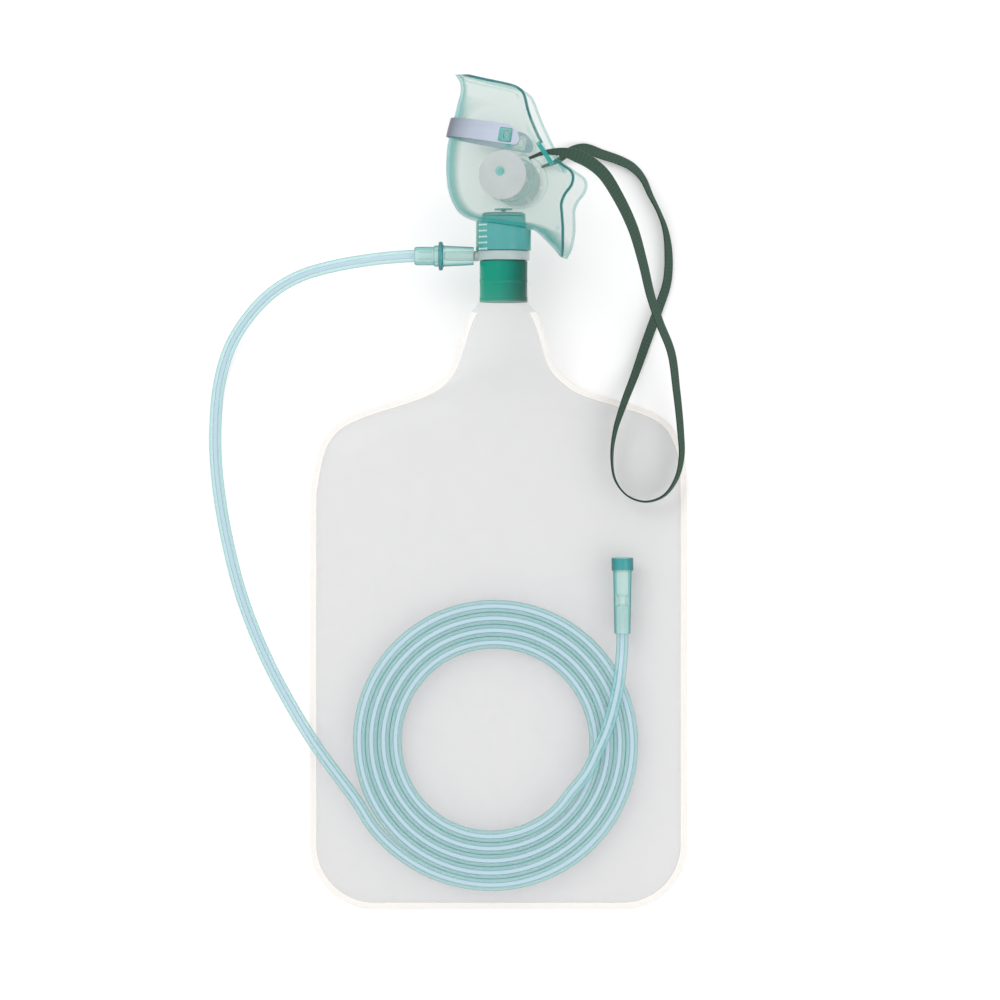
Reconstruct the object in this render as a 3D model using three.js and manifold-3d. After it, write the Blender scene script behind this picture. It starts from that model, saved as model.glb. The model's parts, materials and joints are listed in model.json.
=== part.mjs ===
// Non-rebreathing oxygen mask with a reservoir bag, an oxygen tube and a head strap.
//
// Units are millimetres.  The object lies on its side on a table: +Z is up from the
// table, +Y runs from the bag to the nose of the mask, and the oxygen tube leaves the
// manifold towards -X.  The origin is on the table under the middle of mask and bag.

import * as THREE from 'three';
import { mergeVertices } from 'three/addons/utils/BufferGeometryUtils.js';
import Module from 'manifold-3d';

const wasm = await Module();
wasm.setup();

// ---------------------------------------------------------------- driving dimensions

const gap = 0.3;                    // clearance between separate pieces
const overlap = 0.4;                // how far joined shapes reach into each other

// The mask port, the manifold and the bag collar share one axis along Y.
const axisX = 2.5;
const axisZ = 34.7;
const maskYaw = THREE.MathUtils.degToRad(-6.2);   // the mask leans on its far cheek

const mask = {
  wall: 1.4,
  flange: 1.8,                      // the rim turns outwards by this much
  rows: 25,
  columns: 16,
  portY: 132.7,                     // where the port plane crosses the axis
  portTilt: THREE.MathUtils.degToRad(8.3),
  portHole: 11.3,
  portBoss: 14.6,
  smallest: 0.02,                   // finest detail kept after cutting
};

// Bodies that cut the port reach along the axis between these two heights.
const portCut = { from: 120, to: 145, radius: 24, depth: 7 };

// Sections of the mask from nose to chin, x from the axis: the front of the section,
// the rim, half the width at the rim, and the squareness of the curve between them.
const maskSections = [
  { front: [-24.0, 207.2], rim: [-21.6, 206.8], half: 5.0, square: 2.2 },
  { front: [-21.7, 203.4], rim: [-9.5, 203.6], half: 11.0, square: 2.2 },
  { front: [-21.3, 199.3], rim: [4.2, 200.4], half: 15.0, square: 2.2 },
  { front: [-21.7, 196.6], rim: [9.0, 198.4], half: 16.5, square: 2.2 },
  { front: [-22.5, 193.9], rim: [11.8, 195.2], half: 19.5, square: 2.2 },
  { front: [-24.1, 186.7], rim: [14.4, 187.2], half: 27.0, square: 2.3 },
  { front: [-25.9, 179.8], rim: [17.4, 179.7], half: 30.5, square: 2.4 },
  { front: [-27.4, 172.4], rim: [21.0, 172.2], half: 32.2, square: 2.5 },
  { front: [-28.0, 166.0], rim: [25.3, 165.2], half: 32.6, square: 2.6 },
  { front: [-28.2, 160.6], rim: [31.3, 160.4], half: 32.8, square: 2.6 },
  { front: [-27.9, 155.4], rim: [36.6, 156.2], half: 32.8, square: 2.6 },
  { front: [-27.2, 150.2], rim: [36.4, 151.2], half: 32.5, square: 2.6 },
  { front: [-25.1, 143.9], rim: [33.0, 146.4], half: 32.0, square: 2.7 },
  { front: [-21.0, 138.0], rim: [31.2, 141.8], half: 31.4, square: 2.8 },
  { front: [-13.8, 134.7], rim: [31.3, 136.4], half: 30.0, square: 3.0 },
  { front: [0.0, 132.7], rim: [31.5, 130.8], half: 28.0, square: 3.0 },
  { front: [13.9, 130.6], rim: [31.2, 126.2], half: 24.5, square: 2.8 },
  { front: [22.0, 124.2], rim: [30.6, 121.2], half: 18.0, square: 2.6 },
  { front: [28.0, 117.4], rim: [29.2, 116.6], half: 8.0, square: 2.2 },
];

// One exhalation valve is moulded into each cheek: x and y of its centre, and radii.
const valve = {
  x: 5.3, y: 155.9, surfaceZ: 32.0, tilt: THREE.MathUtils.degToRad(-9.9),
  padRadius: 13.3, padDepth: 3.4, cutDepth: 8,
  holeRadius: 1.4, holeCircle: 9.8, holes: 7, firstHole: THREE.MathUtils.degToRad(-17),
  flapX: -2.3, flapRadius: 12.0, flapThickness: 0.6, flapHole: 1.6,
  pegX: -2.95, pegY: 1.6, pegRadius: 1.2, headRadius: 2.4, headThickness: 0.8,
  travel: 1.0,
};

// The aluminium nose clip follows the mask from cheek to cheek over the bridge.
const clip = {
  frontX: -26.0, frontY: 180.7, slope: 0.166, endX: 11.2, width: 9.4,
  lift: 0.6, thickness: 0.9, steps: 32,
};
const clipStud = { x: 4.5, y: 175.2, length: 6.2, width: 6.6, height: 2.6, heel: 2.5, rail: 1.2 };
const strapLug = { x: 24.2, y: 165.9, slot: 10.4, leg: 1.1, barWidth: 2.2, clear: 2.0, height: 3.6 };

// Radii and heights along the common axis.
const port = { boreRadius: 9.2, spigotRadius: 10.95, spigotTop: 136.9 };
const swivel = { radius: 13.6, bottom: 120.2, socketRadius: 11.3, socketTop: 129.2 };
const grip = { width: 6.4, height: 1.6, pitch: 2.95, count: 5, top: 132.6, turn: 43 };
const seat = { radius: 10.9, bottom: 137.2, top: 138.3, hub: 2.6, bore: 9.0, spoke: 1.6 };
const flap = { radius: 9.9, bottom: 138.6, top: 139.0, hole: 1.5, travel: 0.8 };
const retainer = { pin: 1.1, radius: 4.45, bottom: flap.top + flap.travel + gap, thickness: 0.8 };
const manifold = {
  ringRadius: 12.85, ringBottom: 115.4, ringTop: 119.9,
  maleRadius: 11.0, maleTop: 128.8,
  tailRadius: 10.2, tailBottom: 98.0, tailBore: 8.7,
};
const nipple = { y: 117.5, radius: 2.2, bore: 1.4, tipX: -25.5 };
const collar = { radius: 11.9, bore: 10.5, bottom: 94.6, top: 115.0 };
const neckFilm = { inner: 12.2, outer: 12.8, bottom: 93.6, top: 114.6 };
const neckBand = { inner: 13.1, outer: 13.7, y: 104.4, height: 1.4 };

// Push-on connector between tube and nipple; stations run from the nipple end along -X.
const inlet = {
  x: -12.2, length: 29.3, bore: 2.5, boreDepth: 14.0, lumen: 1.5, web: 17.4,
  tubeBore: 3.3, barrel: 4.54, flange: 7.2, flangeStart: 14.7, taperNear: 4.5, taperFar: 5.2,
};

const tube = { radius: 3.0, sides: 10 };

// Funnel connector on the supply end; stations run from its mouth along -Y.
const supply = {
  x: 61.7, y: -31.6, length: 37.9, mouth: 4.2, bore: 3.3, boreDepth: 18.4, waist: 1.7,
  waistEnd: 24.6, tubeBore: 3.3, flange: 5.43, flangeLength: 6.7, bodyNear: 4.6, bodyFar: 4.0,
};

const bag = {
  halfWidth: 94.0, bottom: -207.2, thickness: 6.0, weld: 0.8, slope: 20.0, cornerRadius: 32.0,
  columns: 12,
};

// Shoulder of the bag, from neck to full width: y, half width, and how far the outline's
// middle lies to +X of the origin.
const bagShoulder = [
  [89.2, 16.4, 2.4], [82.0, 19.4, 2.4], [73.4, 22.1, 2.3], [65.4, 24.8, 2.3], [60.8, 27.7, 2.6],
  [56.4, 32.3, 3.0], [52.7, 37.9, 3.2], [49.4, 46.5, 4.0], [46.0, 57.5, 4.4], [42.6, 68.5, 4.4],
  [38.2, 78.2, 3.4], [33.6, 84.3, 2.2], [27.0, 88.7, 1.4], [20.0, 91.3, 1.2], [12.0, 92.8, 0.8],
  [0.0, 94.0, 0.0],
];

// Coil of the oxygen tube, flat on the bag.
const coil = { x: -3.0, y: -123.8, inner: 44.5, outer: 70.5 };

const bagTop = bag.thickness;
const tubeOnBag = bagTop + gap + tube.radius;
const supplyZ = bagTop + gap + supply.flange;
const tubeOverCoil = tubeOnBag + 2 * tube.radius + gap;

// Route of the tube from the inlet connector over the table and up onto the bag.
const runRoute = [
  [-29.9, 117.5, axisZ], [-41.5, 117.5, axisZ], [-52.0, 117.0, 33.2], [-65.0, 115.6, 31.4],
  [-82.0, 112.8, 26.2], [-98.5, 108.2, 20.0], [-112.6, 100.2, 14.6], [-124.6, 88.2, 9.8],
  [-133.8, 73.6, 6.0], [-139.2, 56.0, 3.9], [-141.3, 36.0, 3.2], [-141.1, 16.0, 3.2],
  [-138.6, -6.0, 3.2], [-134.4, -28.0, 3.2], [-128.9, -49.0, 3.2], [-121.8, -68.6, 3.2],
  [-113.1, -87.8, 3.6], [-103.9, -104.8, 4.8], [-94.4, -120.4, 7.2], [-86.5, -131.8, 9.0],
  [-79.0, -141.8, tubeOnBag], [-71.0, -152.6, tubeOnBag],
];

// Route of the tube from the coil's inner turn, over the other turns, to the connector.
const tailRoute = [
  [35.3, -149.4, tubeOverCoil], [43.6, -139.0, tubeOverCoil + 0.2], [48.9, -128.4, tubeOverCoil + 0.2],
  [53.6, -117.8, tubeOverCoil + 0.2], [57.3, -105.4, tubeOverCoil + 0.2],
  [60.1, -91.6, tubeOverCoil - 0.2], [61.4, -79.4, supplyZ + 0.9], [supply.x, -69.5, supplyZ],
  [supply.x, -56.6, supplyZ],
];

// Route of the head strap from the far lug to the near lug: x, y, z and the turn of the
// band about its own length, in degrees (0 has its inner face up, 90 stands it on edge).
const strap = { width: 6.5, thickness: 0.9, steps: 40 };
const strapRoute = [
  [21.5, 163.4, 1.5, 0], [30.0, 166.6, 3.75, 0], [35.4, 170.9, 3.9, 8], [43.2, 172.4, 2.8, 30],
  [51.4, 169.8, 2.7, 40], [60.7, 166.6, 2.8, 44], [67.0, 163.2, 3.0, 50], [72.0, 157.6, 3.3, 60],
  [75.8, 149.4, 3.6, 68], [80.2, 140.6, 3.7, 73], [83.4, 131.6, 3.6, 66], [84.9, 120.0, 3.3, 54],
  [84.2, 106.0, 3.1, 50], [79.6, 91.8, 3.0, 46], [74.0, 76.4, 2.9, 46], [68.4, 60.4, 4.0, 54],
  [62.2, 44.4, 9.0, 62], [58.0, 31.0, 10.0, 74], [56.5, 18.0, 9.9, 82], [58.2, 7.0, 10.0, 86],
  [64.2, -0.8, 10.0, 90], [73.4, -3.8, 10.0, 92], [82.4, -0.8, 10.0, 97], [88.6, 7.6, 9.8, 105],
  [91.2, 18.4, 10.2, 113], [90.6, 32.0, 12.4, 119], [88.4, 52.0, 17.8, 123],
  [85.6, 70.2, 24.6, 127], [79.6, 85.0, 31.2, 128], [75.2, 97.4, 38.0, 130],
  [70.9, 114.2, 47.0, 134], [65.8, 130.6, 54.8, 142], [58.4, 145.6, 61.2, 150],
  [50.6, 157.0, 66.2, 162], [42.0, 163.2, 68.8, 172], [32.4, 166.4, 71.4, 180],
  [22.8, 166.4, 70.75, 180], [14.2, 165.8, 70.9, 180],
];

// ---------------------------------------------------------------------- materials

function material(color, roughness, metalness = 0, opacity = 1) {
  const look = { color, roughness, metalness, opacity, transparent: opacity < 1 };
  return new THREE.MeshStandardMaterial(look);
}

const clearMask = () => material(0xd7e4de, 0.25, 0, 0.45);
const tealPlastic = () => material(0x2aa397, 0.25, 0, 0.85);
const whitePlastic = () => material(0xc8d2d0, 0.3);
const greenSleeve = () => material(0x00957c, 0.15);
const silicone = () => material(0xcdd2d2, 0.45);
const aluminium = () => material(0xc3cbdc, 0.35, 0.8);
const clearTube = () => material(0xa8d4d6, 0.15, 0, 0.6);
const clearFilm = () => material(0xe4e6e6, 0.2, 0, 0.5);
const elastic = () => material(0x3c6450, 0.9);

// -------------------------------------------------------------------- geometry help

// Makes a manifold solid from a closed geometry.
function toSolid(geometry) {
  const bare = geometry.clone();
  bare.deleteAttribute('normal');
  bare.deleteAttribute('uv');
  const merged = mergeVertices(bare, 1e-4);
  const mesh = new wasm.Mesh({
    numProp: 3,
    vertProperties: new Float32Array(merged.attributes.position.array),
    triVerts: new Uint32Array(merged.index.array),
  });
  return new wasm.Manifold(mesh);
}

// Turns a manifold solid back into a geometry.
function toGeometry(solid) {
  const mesh = solid.getMesh();
  const geometry = new THREE.BufferGeometry();
  geometry.setAttribute('position', new THREE.BufferAttribute(mesh.vertProperties, 3));
  geometry.setIndex(new THREE.BufferAttribute(mesh.triVerts, 1));
  geometry.computeVertexNormals();
  return geometry;
}

// Geometry from vertices and triangles, given as arrays of Vector3 and of index triples.
function meshGeometry(points, triangles) {
  const geometry = new THREE.BufferGeometry();
  const values = points.flatMap((p) => p.toArray());
  geometry.setAttribute('position', new THREE.Float32BufferAttribute(values, 3));
  geometry.setIndex(triangles.flat());
  geometry.computeVertexNormals();
  return geometry;
}

// Body of revolution about Y through the axis x = 0, z = 0, from a closed outline of
// [radius, y] points listed anticlockwise.
function turned(outline, segments = 32) {
  const points = [...outline, outline[0]].map(([radius, y]) => new THREE.Vector2(radius, y));
  return new THREE.LatheGeometry(points, segments);
}

// Plain ring or disc about Y.
function ring(inner, outer, bottom, top, segments = 32) {
  if (inner > 0) {
    return turned([[inner, bottom], [outer, bottom], [outer, top], [inner, top]], segments);
  }
  return new THREE.CylinderGeometry(outer, outer, top - bottom, segments).translate(0, (top + bottom) / 2, 0);
}

// Closed body through a list of rings with equally many points, capped at both ends.
// Seen from the last ring, each ring's points run anticlockwise.
function lofted(rings) {
  const count = rings[0].length;
  const points = rings.flat();
  const triangles = [];
  for (let i = 0; i < rings.length - 1; i += 1) {
    for (let j = 0; j < count; j += 1) {
      const a = i * count + j;
      const b = i * count + (j + 1) % count;
      triangles.push([a, b, b + count], [a, b + count, a + count]);
    }
  }
  const last = (rings.length - 1) * count;
  for (let j = 1; j < count - 1; j += 1) {
    triangles.push([0, j + 1, j], [last, last + j, last + j + 1]);
  }
  return meshGeometry(points, triangles);
}

// Slab between two sheets of points over the same rows and columns.
function slab(rows, columns, outer, inner) {
  const points = [];
  for (const sheet of [outer, inner]) {
    for (let i = 0; i <= rows; i += 1) {
      for (let j = 0; j <= columns; j += 1) points.push(sheet(i, j));
    }
  }
  const size = (rows + 1) * (columns + 1);
  const at = (i, j) => i * (columns + 1) + j;
  const triangles = [];
  const quad = (a, b, c, d) => triangles.push([a, b, c], [a, c, d]);
  for (let i = 0; i < rows; i += 1) {
    for (let j = 0; j < columns; j += 1) {
      quad(at(i, j), at(i + 1, j), at(i + 1, j + 1), at(i, j + 1));
      quad(size + at(i, j), size + at(i, j + 1), size + at(i + 1, j + 1), size + at(i + 1, j));
    }
    quad(at(i, 0), size + at(i, 0), size + at(i + 1, 0), at(i + 1, 0));
    quad(at(i, columns), at(i + 1, columns), size + at(i + 1, columns), size + at(i, columns));
  }
  for (let j = 0; j < columns; j += 1) {
    quad(at(0, j), at(0, j + 1), size + at(0, j + 1), size + at(0, j));
    quad(at(rows, j), size + at(rows, j), size + at(rows, j + 1), at(rows, j + 1));
  }
  return meshGeometry(points, triangles);
}

// Round tube along a route of [x, y, z] points.
function tubeAlong(route, steps) {
  const path = new THREE.CatmullRomCurve3(route.map((p) => new THREE.Vector3(...p)), false, 'centripetal');
  const section = new THREE.Shape();
  for (let i = 0; i < tube.sides; i += 1) {
    const angle = 2 * Math.PI * i / tube.sides;
    const corner = [tube.radius * Math.cos(angle), tube.radius * Math.sin(angle)];
    if (i === 0) section.moveTo(...corner);
    else section.lineTo(...corner);
  }
  return new THREE.ExtrudeGeometry(section, { steps, extrudePath: path, bevelEnabled: false });
}

// Value of a table column at a fraction of the table's length, on a smooth curve.
function smoothColumn(values) {
  const points = values.map((v) => new THREE.Vector3(v, 0, 0));
  const curve = new THREE.CatmullRomCurve3(points, false, 'catmullrom');
  return (u) => curve.getPoint(u).x;
}

const object = new THREE.Group();
const maskGroup = new THREE.Group();
maskGroup.position.set(axisX, 0, axisZ);
maskGroup.rotation.y = maskYaw;
object.add(maskGroup);

// Adds a named mesh to a group.
function piece(name, geometry, look, parent = object) {
  const mesh = new THREE.Mesh(geometry, look);
  mesh.name = name;
  parent.add(mesh);
  return mesh;
}

// Adds a mesh that is turned about the common axis and does not lean with the mask.
function axisPiece(name, geometry, look) {
  piece(name, geometry, look).position.set(axisX, 0, axisZ);
}

// ------------------------------------------------------------------- mask surface

const sectionValue = {
  frontX: smoothColumn(maskSections.map((s) => s.front[0])),
  frontY: smoothColumn(maskSections.map((s) => s.front[1])),
  rimX: smoothColumn(maskSections.map((s) => s.rim[0])),
  rimY: smoothColumn(maskSections.map((s) => s.rim[1])),
  half: smoothColumn(maskSections.map((s) => s.half)),
  square: smoothColumn(maskSections.map((s) => s.square)),
};

// Point of the mask's outer surface: s runs from nose (0) to chin (1), t from the far
// rim (-1) over the front (0) to the near rim (1).
function maskPoint(s, t) {
  const along = Math.min(Math.max(s, 0), 1);
  const angle = Math.min(Math.abs(t), 1) * Math.PI / 2;
  const power = 2 / sectionValue.square(along);
  const back = 1 - Math.cos(angle) ** power;
  const x = THREE.MathUtils.lerp(sectionValue.frontX(along), sectionValue.rimX(along), back);
  const y = THREE.MathUtils.lerp(sectionValue.frontY(along), sectionValue.rimY(along), back);
  return new THREE.Vector3(x, y, Math.sign(t) * sectionValue.half(along) * Math.sin(angle) ** power);
}

// Outward normal of the mask surface at (s, t).
function maskNormal(s, t) {
  const step = 0.004;
  const inside = Math.min(Math.max(t, step - 1), 1 - step);
  const alongS = maskPoint(s + step, inside).sub(maskPoint(s - step, inside));
  const alongT = maskPoint(s, inside + step).sub(maskPoint(s, inside - step));
  return alongS.cross(alongT).normalize();
}

// Finds (s, t) on the near cheek from x and y.
function cheekPlace(x, y) {
  let best = { miss: Infinity };
  for (let i = 0; i <= 200; i += 1) {
    for (let j = 40; j <= 200; j += 1) {
      const p = maskPoint(i / 200, j / 200);
      const miss = (p.x - x) ** 2 + (p.y - y) ** 2;
      if (miss < best.miss) best = { miss, s: i / 200, t: j / 200 };
    }
  }
  return best;
}

// Frame on the near cheek: x along the given direction, z along the outward normal.
function cheekFrame(x, y, direction) {
  const { s, t } = cheekPlace(x, y);
  const normal = maskNormal(s, t);
  const along = new THREE.Vector3(Math.cos(direction), Math.sin(direction), 0);
  along.addScaledVector(normal, -along.dot(normal)).normalize();
  const across = new THREE.Vector3().crossVectors(normal, along);
  return new THREE.Matrix4().makeBasis(along, across, normal).setPosition(maskPoint(s, t));
}

// The same solid on the other cheek.
function mirrored(solid) {
  return solid.mirror([0, 0, 1]);
}

// ------------------------------------------------------------------------ the mask

// Cup of even wall thickness with its rim turned outwards.
function maskCup() {
  const lastColumn = mask.columns + 2;
  const parameter = (j) => -1 + 2 * Math.min(Math.max(j - 1, 0), mask.columns) / mask.columns;
  const turnOut = (j) => {
    if (j === 0) return -mask.flange;
    return j === lastColumn ? mask.flange : 0;
  };
  const outer = (i, j) => {
    const point = maskPoint(i / mask.rows, parameter(j));
    point.z += turnOut(j);
    return point;
  };
  const inner = (i, j) => {
    const s = i / mask.rows;
    const t = parameter(j);
    const point = maskPoint(s, t).addScaledVector(maskNormal(s, t), -mask.wall);
    if (Math.abs(t) === 1) {
      const rim = maskPoint(s, t);
      point.set(rim.x + mask.wall, rim.y, rim.z - Math.sign(t) * mask.wall);
      if (turnOut(j) !== 0) point.z = rim.z + turnOut(j);
    }
    if (i === 0) point.y = maskPoint(0, t).y;
    return point;
  };
  return toSolid(slab(mask.rows, lastColumn, outer, inner));
}

// Slanted flat boss and round hole for the swivel connector.
function withPort(cup) {
  const tilt = new THREE.Matrix4().makeRotationZ(-mask.portTilt).setPosition(0, mask.portY, 0);
  const boss = toSolid(ring(0, mask.portBoss, 0, mask.wall + overlap).applyMatrix4(tilt));
  const room = toSolid(ring(0, mask.portBoss, -portCut.depth, 0).applyMatrix4(tilt));
  const hole = toSolid(ring(0, mask.portHole, portCut.from, portCut.to));
  return cup.subtract(room).add(boss).subtract(hole);
}

// Places a geometry built with its axis along Y on the near valve seat, axis outwards.
function onValveSeat(geometry) {
  const toSeat = new THREE.Matrix4().makeRotationY(valve.tilt).setPosition(valve.x, valve.y, valve.surfaceZ);
  return geometry.rotateX(Math.PI / 2).applyMatrix4(toSeat);
}

// Disc on the valve seat, at an offset from the seat's centre and between two heights.
function valveDisc(radius, bottom, top, dx = 0, dy = 0, segments = 24) {
  return onValveSeat(ring(0, radius, bottom, top, segments).translate(dx, 0, -dy));
}

const flapBottom = gap;
const flapTop = flapBottom + valve.flapThickness;
const headBottom = flapTop + valve.travel + gap;

// Round flat pad with a ring of gas holes and the peg for the flap.
function withValve(cup, place) {
  const pad = toSolid(valveDisc(valve.padRadius, -valve.padDepth, 0, 0, 0, 32));
  let seated = cup.add(place(pad));
  for (let i = 0; i < valve.holes; i += 1) {
    const angle = valve.firstHole + 2 * Math.PI * i / valve.holes;
    const dx = valve.holeCircle * Math.cos(angle);
    const dy = valve.holeCircle * Math.sin(angle);
    seated = seated.subtract(place(toSolid(valveDisc(valve.holeRadius, -valve.cutDepth, 1, dx, dy, 8))));
  }
  const headTop = headBottom + valve.headThickness;
  const peg = toSolid(valveDisc(valve.pegRadius, -overlap, headBottom + overlap, valve.pegX, valve.pegY, 12));
  const head = toSolid(valveDisc(valve.headRadius, headBottom, headTop, valve.pegX, valve.pegY, 16));
  return seated.add(place(peg)).add(place(head));
}

// Moulded loop that stands on the cheek: two legs and a bar over a clear space.
function cheekLoop({ x, y, leg, barWidth, clear, height }, inside, direction) {
  const frame = cheekFrame(x, y, direction);
  const depth = mask.wall;
  const legShape = () => new THREE.BoxGeometry(leg, barWidth, height + depth);
  const legOffset = (inside + leg) / 2;
  const bar = new THREE.BoxGeometry(inside + 2 * leg, barWidth, height - clear);
  const parts = [
    legShape().translate(-legOffset, 0, (height - depth) / 2),
    legShape().translate(legOffset, 0, (height - depth) / 2),
    bar.translate(0, 0, (height + clear) / 2),
  ];
  const solids = parts.map((part) => toSolid(part.applyMatrix4(frame)));
  return solids[0].add(solids[1]).add(solids[2]);
}

// Frame on the near cheek at the clip's stud, x along the strip.
function studFrame() {
  return cheekFrame(clipStud.x, clipStud.y, -Math.atan(clip.slope));
}

// Moulded stud that comes up through the nose clip, with a window in its top.
function studSolid() {
  const { length, width, height, heel, rail } = clipStud;
  const block = new THREE.BoxGeometry(length, width, height + mask.wall);
  block.translate(0, 0, (height - mask.wall) / 2);
  const window = new THREE.BoxGeometry(length - heel - rail, width - 2 * rail, height);
  window.translate((heel - rail) / 2, 0, height / 2 + gap);
  return toSolid(block.applyMatrix4(studFrame())).subtract(toSolid(window.applyMatrix4(studFrame())));
}

// Space that the nose clip leaves around the stud.
function studRoom() {
  const { length, width, height } = clipStud;
  const room = new THREE.BoxGeometry(length + 2 * gap, width + 2 * gap, 2 * height);
  return toSolid(room.applyMatrix4(studFrame()));
}

// Slot under the lug's bar, cut through the turned-out rim.
function lugSlot(direction) {
  const { x, y, slot, clear } = strapLug;
  const floor = 0.1;
  const box = new THREE.BoxGeometry(slot, 9, clear - floor).translate(0, 0, (clear + floor) / 2);
  return toSolid(box.applyMatrix4(cheekFrame(x, y, direction)));
}

function maskShell() {
  const alongRim = THREE.MathUtils.degToRad(-57);
  const lug = cheekLoop(strapLug, strapLug.slot, alongRim);
  const slot = lugSlot(alongRim);
  const stud = studSolid();
  let shell = withPort(maskCup());
  for (const place of [(solid) => solid, mirrored]) {
    shell = withValve(shell, place);
    shell = shell.add(place(lug)).subtract(place(slot)).add(place(stud));
  }
  return toGeometry(shell.simplify(mask.smallest));
}

// Flap that covers the gas holes and lifts along the peg.
function exhalationFlap() {
  const disc = toSolid(valveDisc(valve.flapRadius, flapBottom, flapTop, valve.flapX, 0, 32));
  const hole = toSolid(valveDisc(valve.flapHole, flapBottom - 1, flapTop + 1, valve.pegX, valve.pegY, 12));
  return disc.subtract(hole);
}

// Bent strip with round ends and a hole for each stud, a little off the mask's surface
// and sloping to the cheeks.
function noseClip() {
  const half = clip.width / 2;
  const height = (s, t) => {
    const point = maskPoint(s, t);
    return point.y + clip.slope * (point.x - clip.frontX);
  };
  const rowAt = (level, t) => {
    let low = 0;
    let high = 1;
    for (let k = 0; k < 30; k += 1) {
      const middle = (low + high) / 2;
      if (height(middle, t) > level) low = middle;
      else high = middle;
    }
    return low;
  };
  const endT = cheekPlace(clip.endX, clip.frontY - clip.slope * (clip.endX - clip.frontX)).t;
  const sheet = (lift) => (i, j) => {
    const v = -1 + 2 * i / clip.steps;
    const t = endT * Math.sin(v * Math.PI / 2);
    const toEnd = Math.max(clip.endX - maskPoint(rowAt(clip.frontY, t), t).x, 0.02);
    const halfHere = toEnd > half ? half : Math.sqrt(toEnd * (2 * half - toEnd));
    const s = rowAt(clip.frontY + halfHere * (j === 0 ? -1 : 1), t);
    return maskPoint(s, t).addScaledVector(maskNormal(s, t), lift);
  };
  const strip = toSolid(slab(clip.steps, 1, sheet(clip.lift + clip.thickness), sheet(clip.lift)));
  const hole = studRoom();
  return toGeometry(strip.subtract(hole).subtract(mirrored(hole)));
}

function swivelConnector() {
  const body = toSolid(turned([
    [port.boreRadius, swivel.socketTop], [swivel.socketRadius, swivel.socketTop],
    [swivel.socketRadius, swivel.bottom], [swivel.radius, swivel.bottom],
    [swivel.radius, port.spigotTop], [port.boreRadius, port.spigotTop],
  ]));
  const tilt = new THREE.Matrix4().makeRotationZ(-mask.portTilt).setPosition(0, mask.portY - gap, 0);
  const slanted = toSolid(ring(0, portCut.radius, 0, 2 * portCut.depth).applyMatrix4(tilt));
  const aroundSpigot = toSolid(ring(port.spigotRadius, portCut.radius - 2, portCut.from, portCut.to));
  let connector = body.subtract(slanted.intersect(aroundSpigot));
  for (const [side, first] of [[0, 0], [180, 1]]) {
    for (let i = first; i < grip.count; i += 1) {
      const bar = new THREE.BoxGeometry(grip.width, grip.height, 1.4);
      bar.translate(0, grip.top - i * grip.pitch, swivel.radius - 0.5);
      bar.rotateY(THREE.MathUtils.degToRad(side - grip.turn));
      connector = connector.add(toSolid(bar));
    }
  }
  return toGeometry(connector);
}

// Spoked seat that snaps onto the spigot inside the mask.
function inhalationSeat() {
  const outline = new THREE.Shape();
  outline.absarc(0, 0, seat.radius, 0, 2 * Math.PI);
  const spokes = 4;
  for (let i = 0; i < spokes; i += 1) {
    const from = 2 * Math.PI * i / spokes;
    const to = 2 * Math.PI * (i + 1) / spokes;
    const outerMargin = seat.spoke / 2 / seat.bore;
    const innerMargin = seat.spoke / 2 / seat.hub;
    const window = new THREE.Path();
    window.absarc(0, 0, seat.bore, from + outerMargin, to - outerMargin);
    window.absarc(0, 0, seat.hub, to - innerMargin, from + innerMargin, true);
    window.closePath();
    outline.holes.push(window);
  }
  const plate = new THREE.ExtrudeGeometry(outline, {
    depth: seat.top - seat.bottom, bevelEnabled: false, curveSegments: 8,
  });
  return plate.rotateX(-Math.PI / 2).translate(0, seat.bottom, 0);
}

function inhalationRetainer() {
  const pin = toSolid(ring(0, retainer.pin, seat.top + gap, retainer.bottom + overlap, 16));
  const top = retainer.bottom + retainer.thickness;
  const head = toSolid(ring(0, retainer.radius, retainer.bottom, top, 32));
  return toGeometry(pin.add(head));
}

// --------------------------------------------------------------- manifold and bag

function gasManifold() {
  const { ringRadius, ringBottom, ringTop, maleRadius, maleTop, tailRadius, tailBottom, tailBore } = manifold;
  const body = toSolid(turned([
    [tailBore, tailBottom], [tailRadius, tailBottom], [tailRadius, ringBottom], [ringRadius, ringBottom],
    [ringRadius, ringTop], [maleRadius, ringTop], [maleRadius, maleTop], [port.boreRadius, maleTop],
    [port.boreRadius, ringTop], [tailBore, ringTop - 1],
  ]));
  const side = (radius, nearX, farX) => {
    const rod = new THREE.CylinderGeometry(radius, radius, nearX - farX, 16);
    return toSolid(rod.rotateZ(Math.PI / 2).translate((nearX + farX) / 2, nipple.y, 0));
  };
  const tip = nipple.tipX - axisX;
  const spout = side(nipple.radius, -ringRadius + overlap, tip);
  const bore = side(nipple.bore, -tailBore + 1, tip - 1);
  return toGeometry(body.add(spout).subtract(bore));
}

// Half width and middle of the bag's outline at y.
function bagOutline(y) {
  const first = bagShoulder[0];
  const last = bagShoulder[bagShoulder.length - 1];
  if (y >= first[0]) return { half: first[1], middle: first[2] };
  if (y > last[0]) {
    const k = bagShoulder.findIndex((station) => y >= station[0]);
    const [yB, halfB, middleB] = bagShoulder[k];
    const [yA, halfA, middleA] = bagShoulder[k - 1];
    const u = (yA - y) / (yA - yB);
    return { half: THREE.MathUtils.lerp(halfA, halfB, u), middle: THREE.MathUtils.lerp(middleA, middleB, u) };
  }
  const intoCorner = Math.max(bag.bottom + bag.cornerRadius - y, 0);
  const cut = bag.cornerRadius - Math.sqrt(Math.max(bag.cornerRadius ** 2 - intoCorner ** 2, 0));
  return { half: bag.halfWidth - cut, middle: 0 };
}

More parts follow.
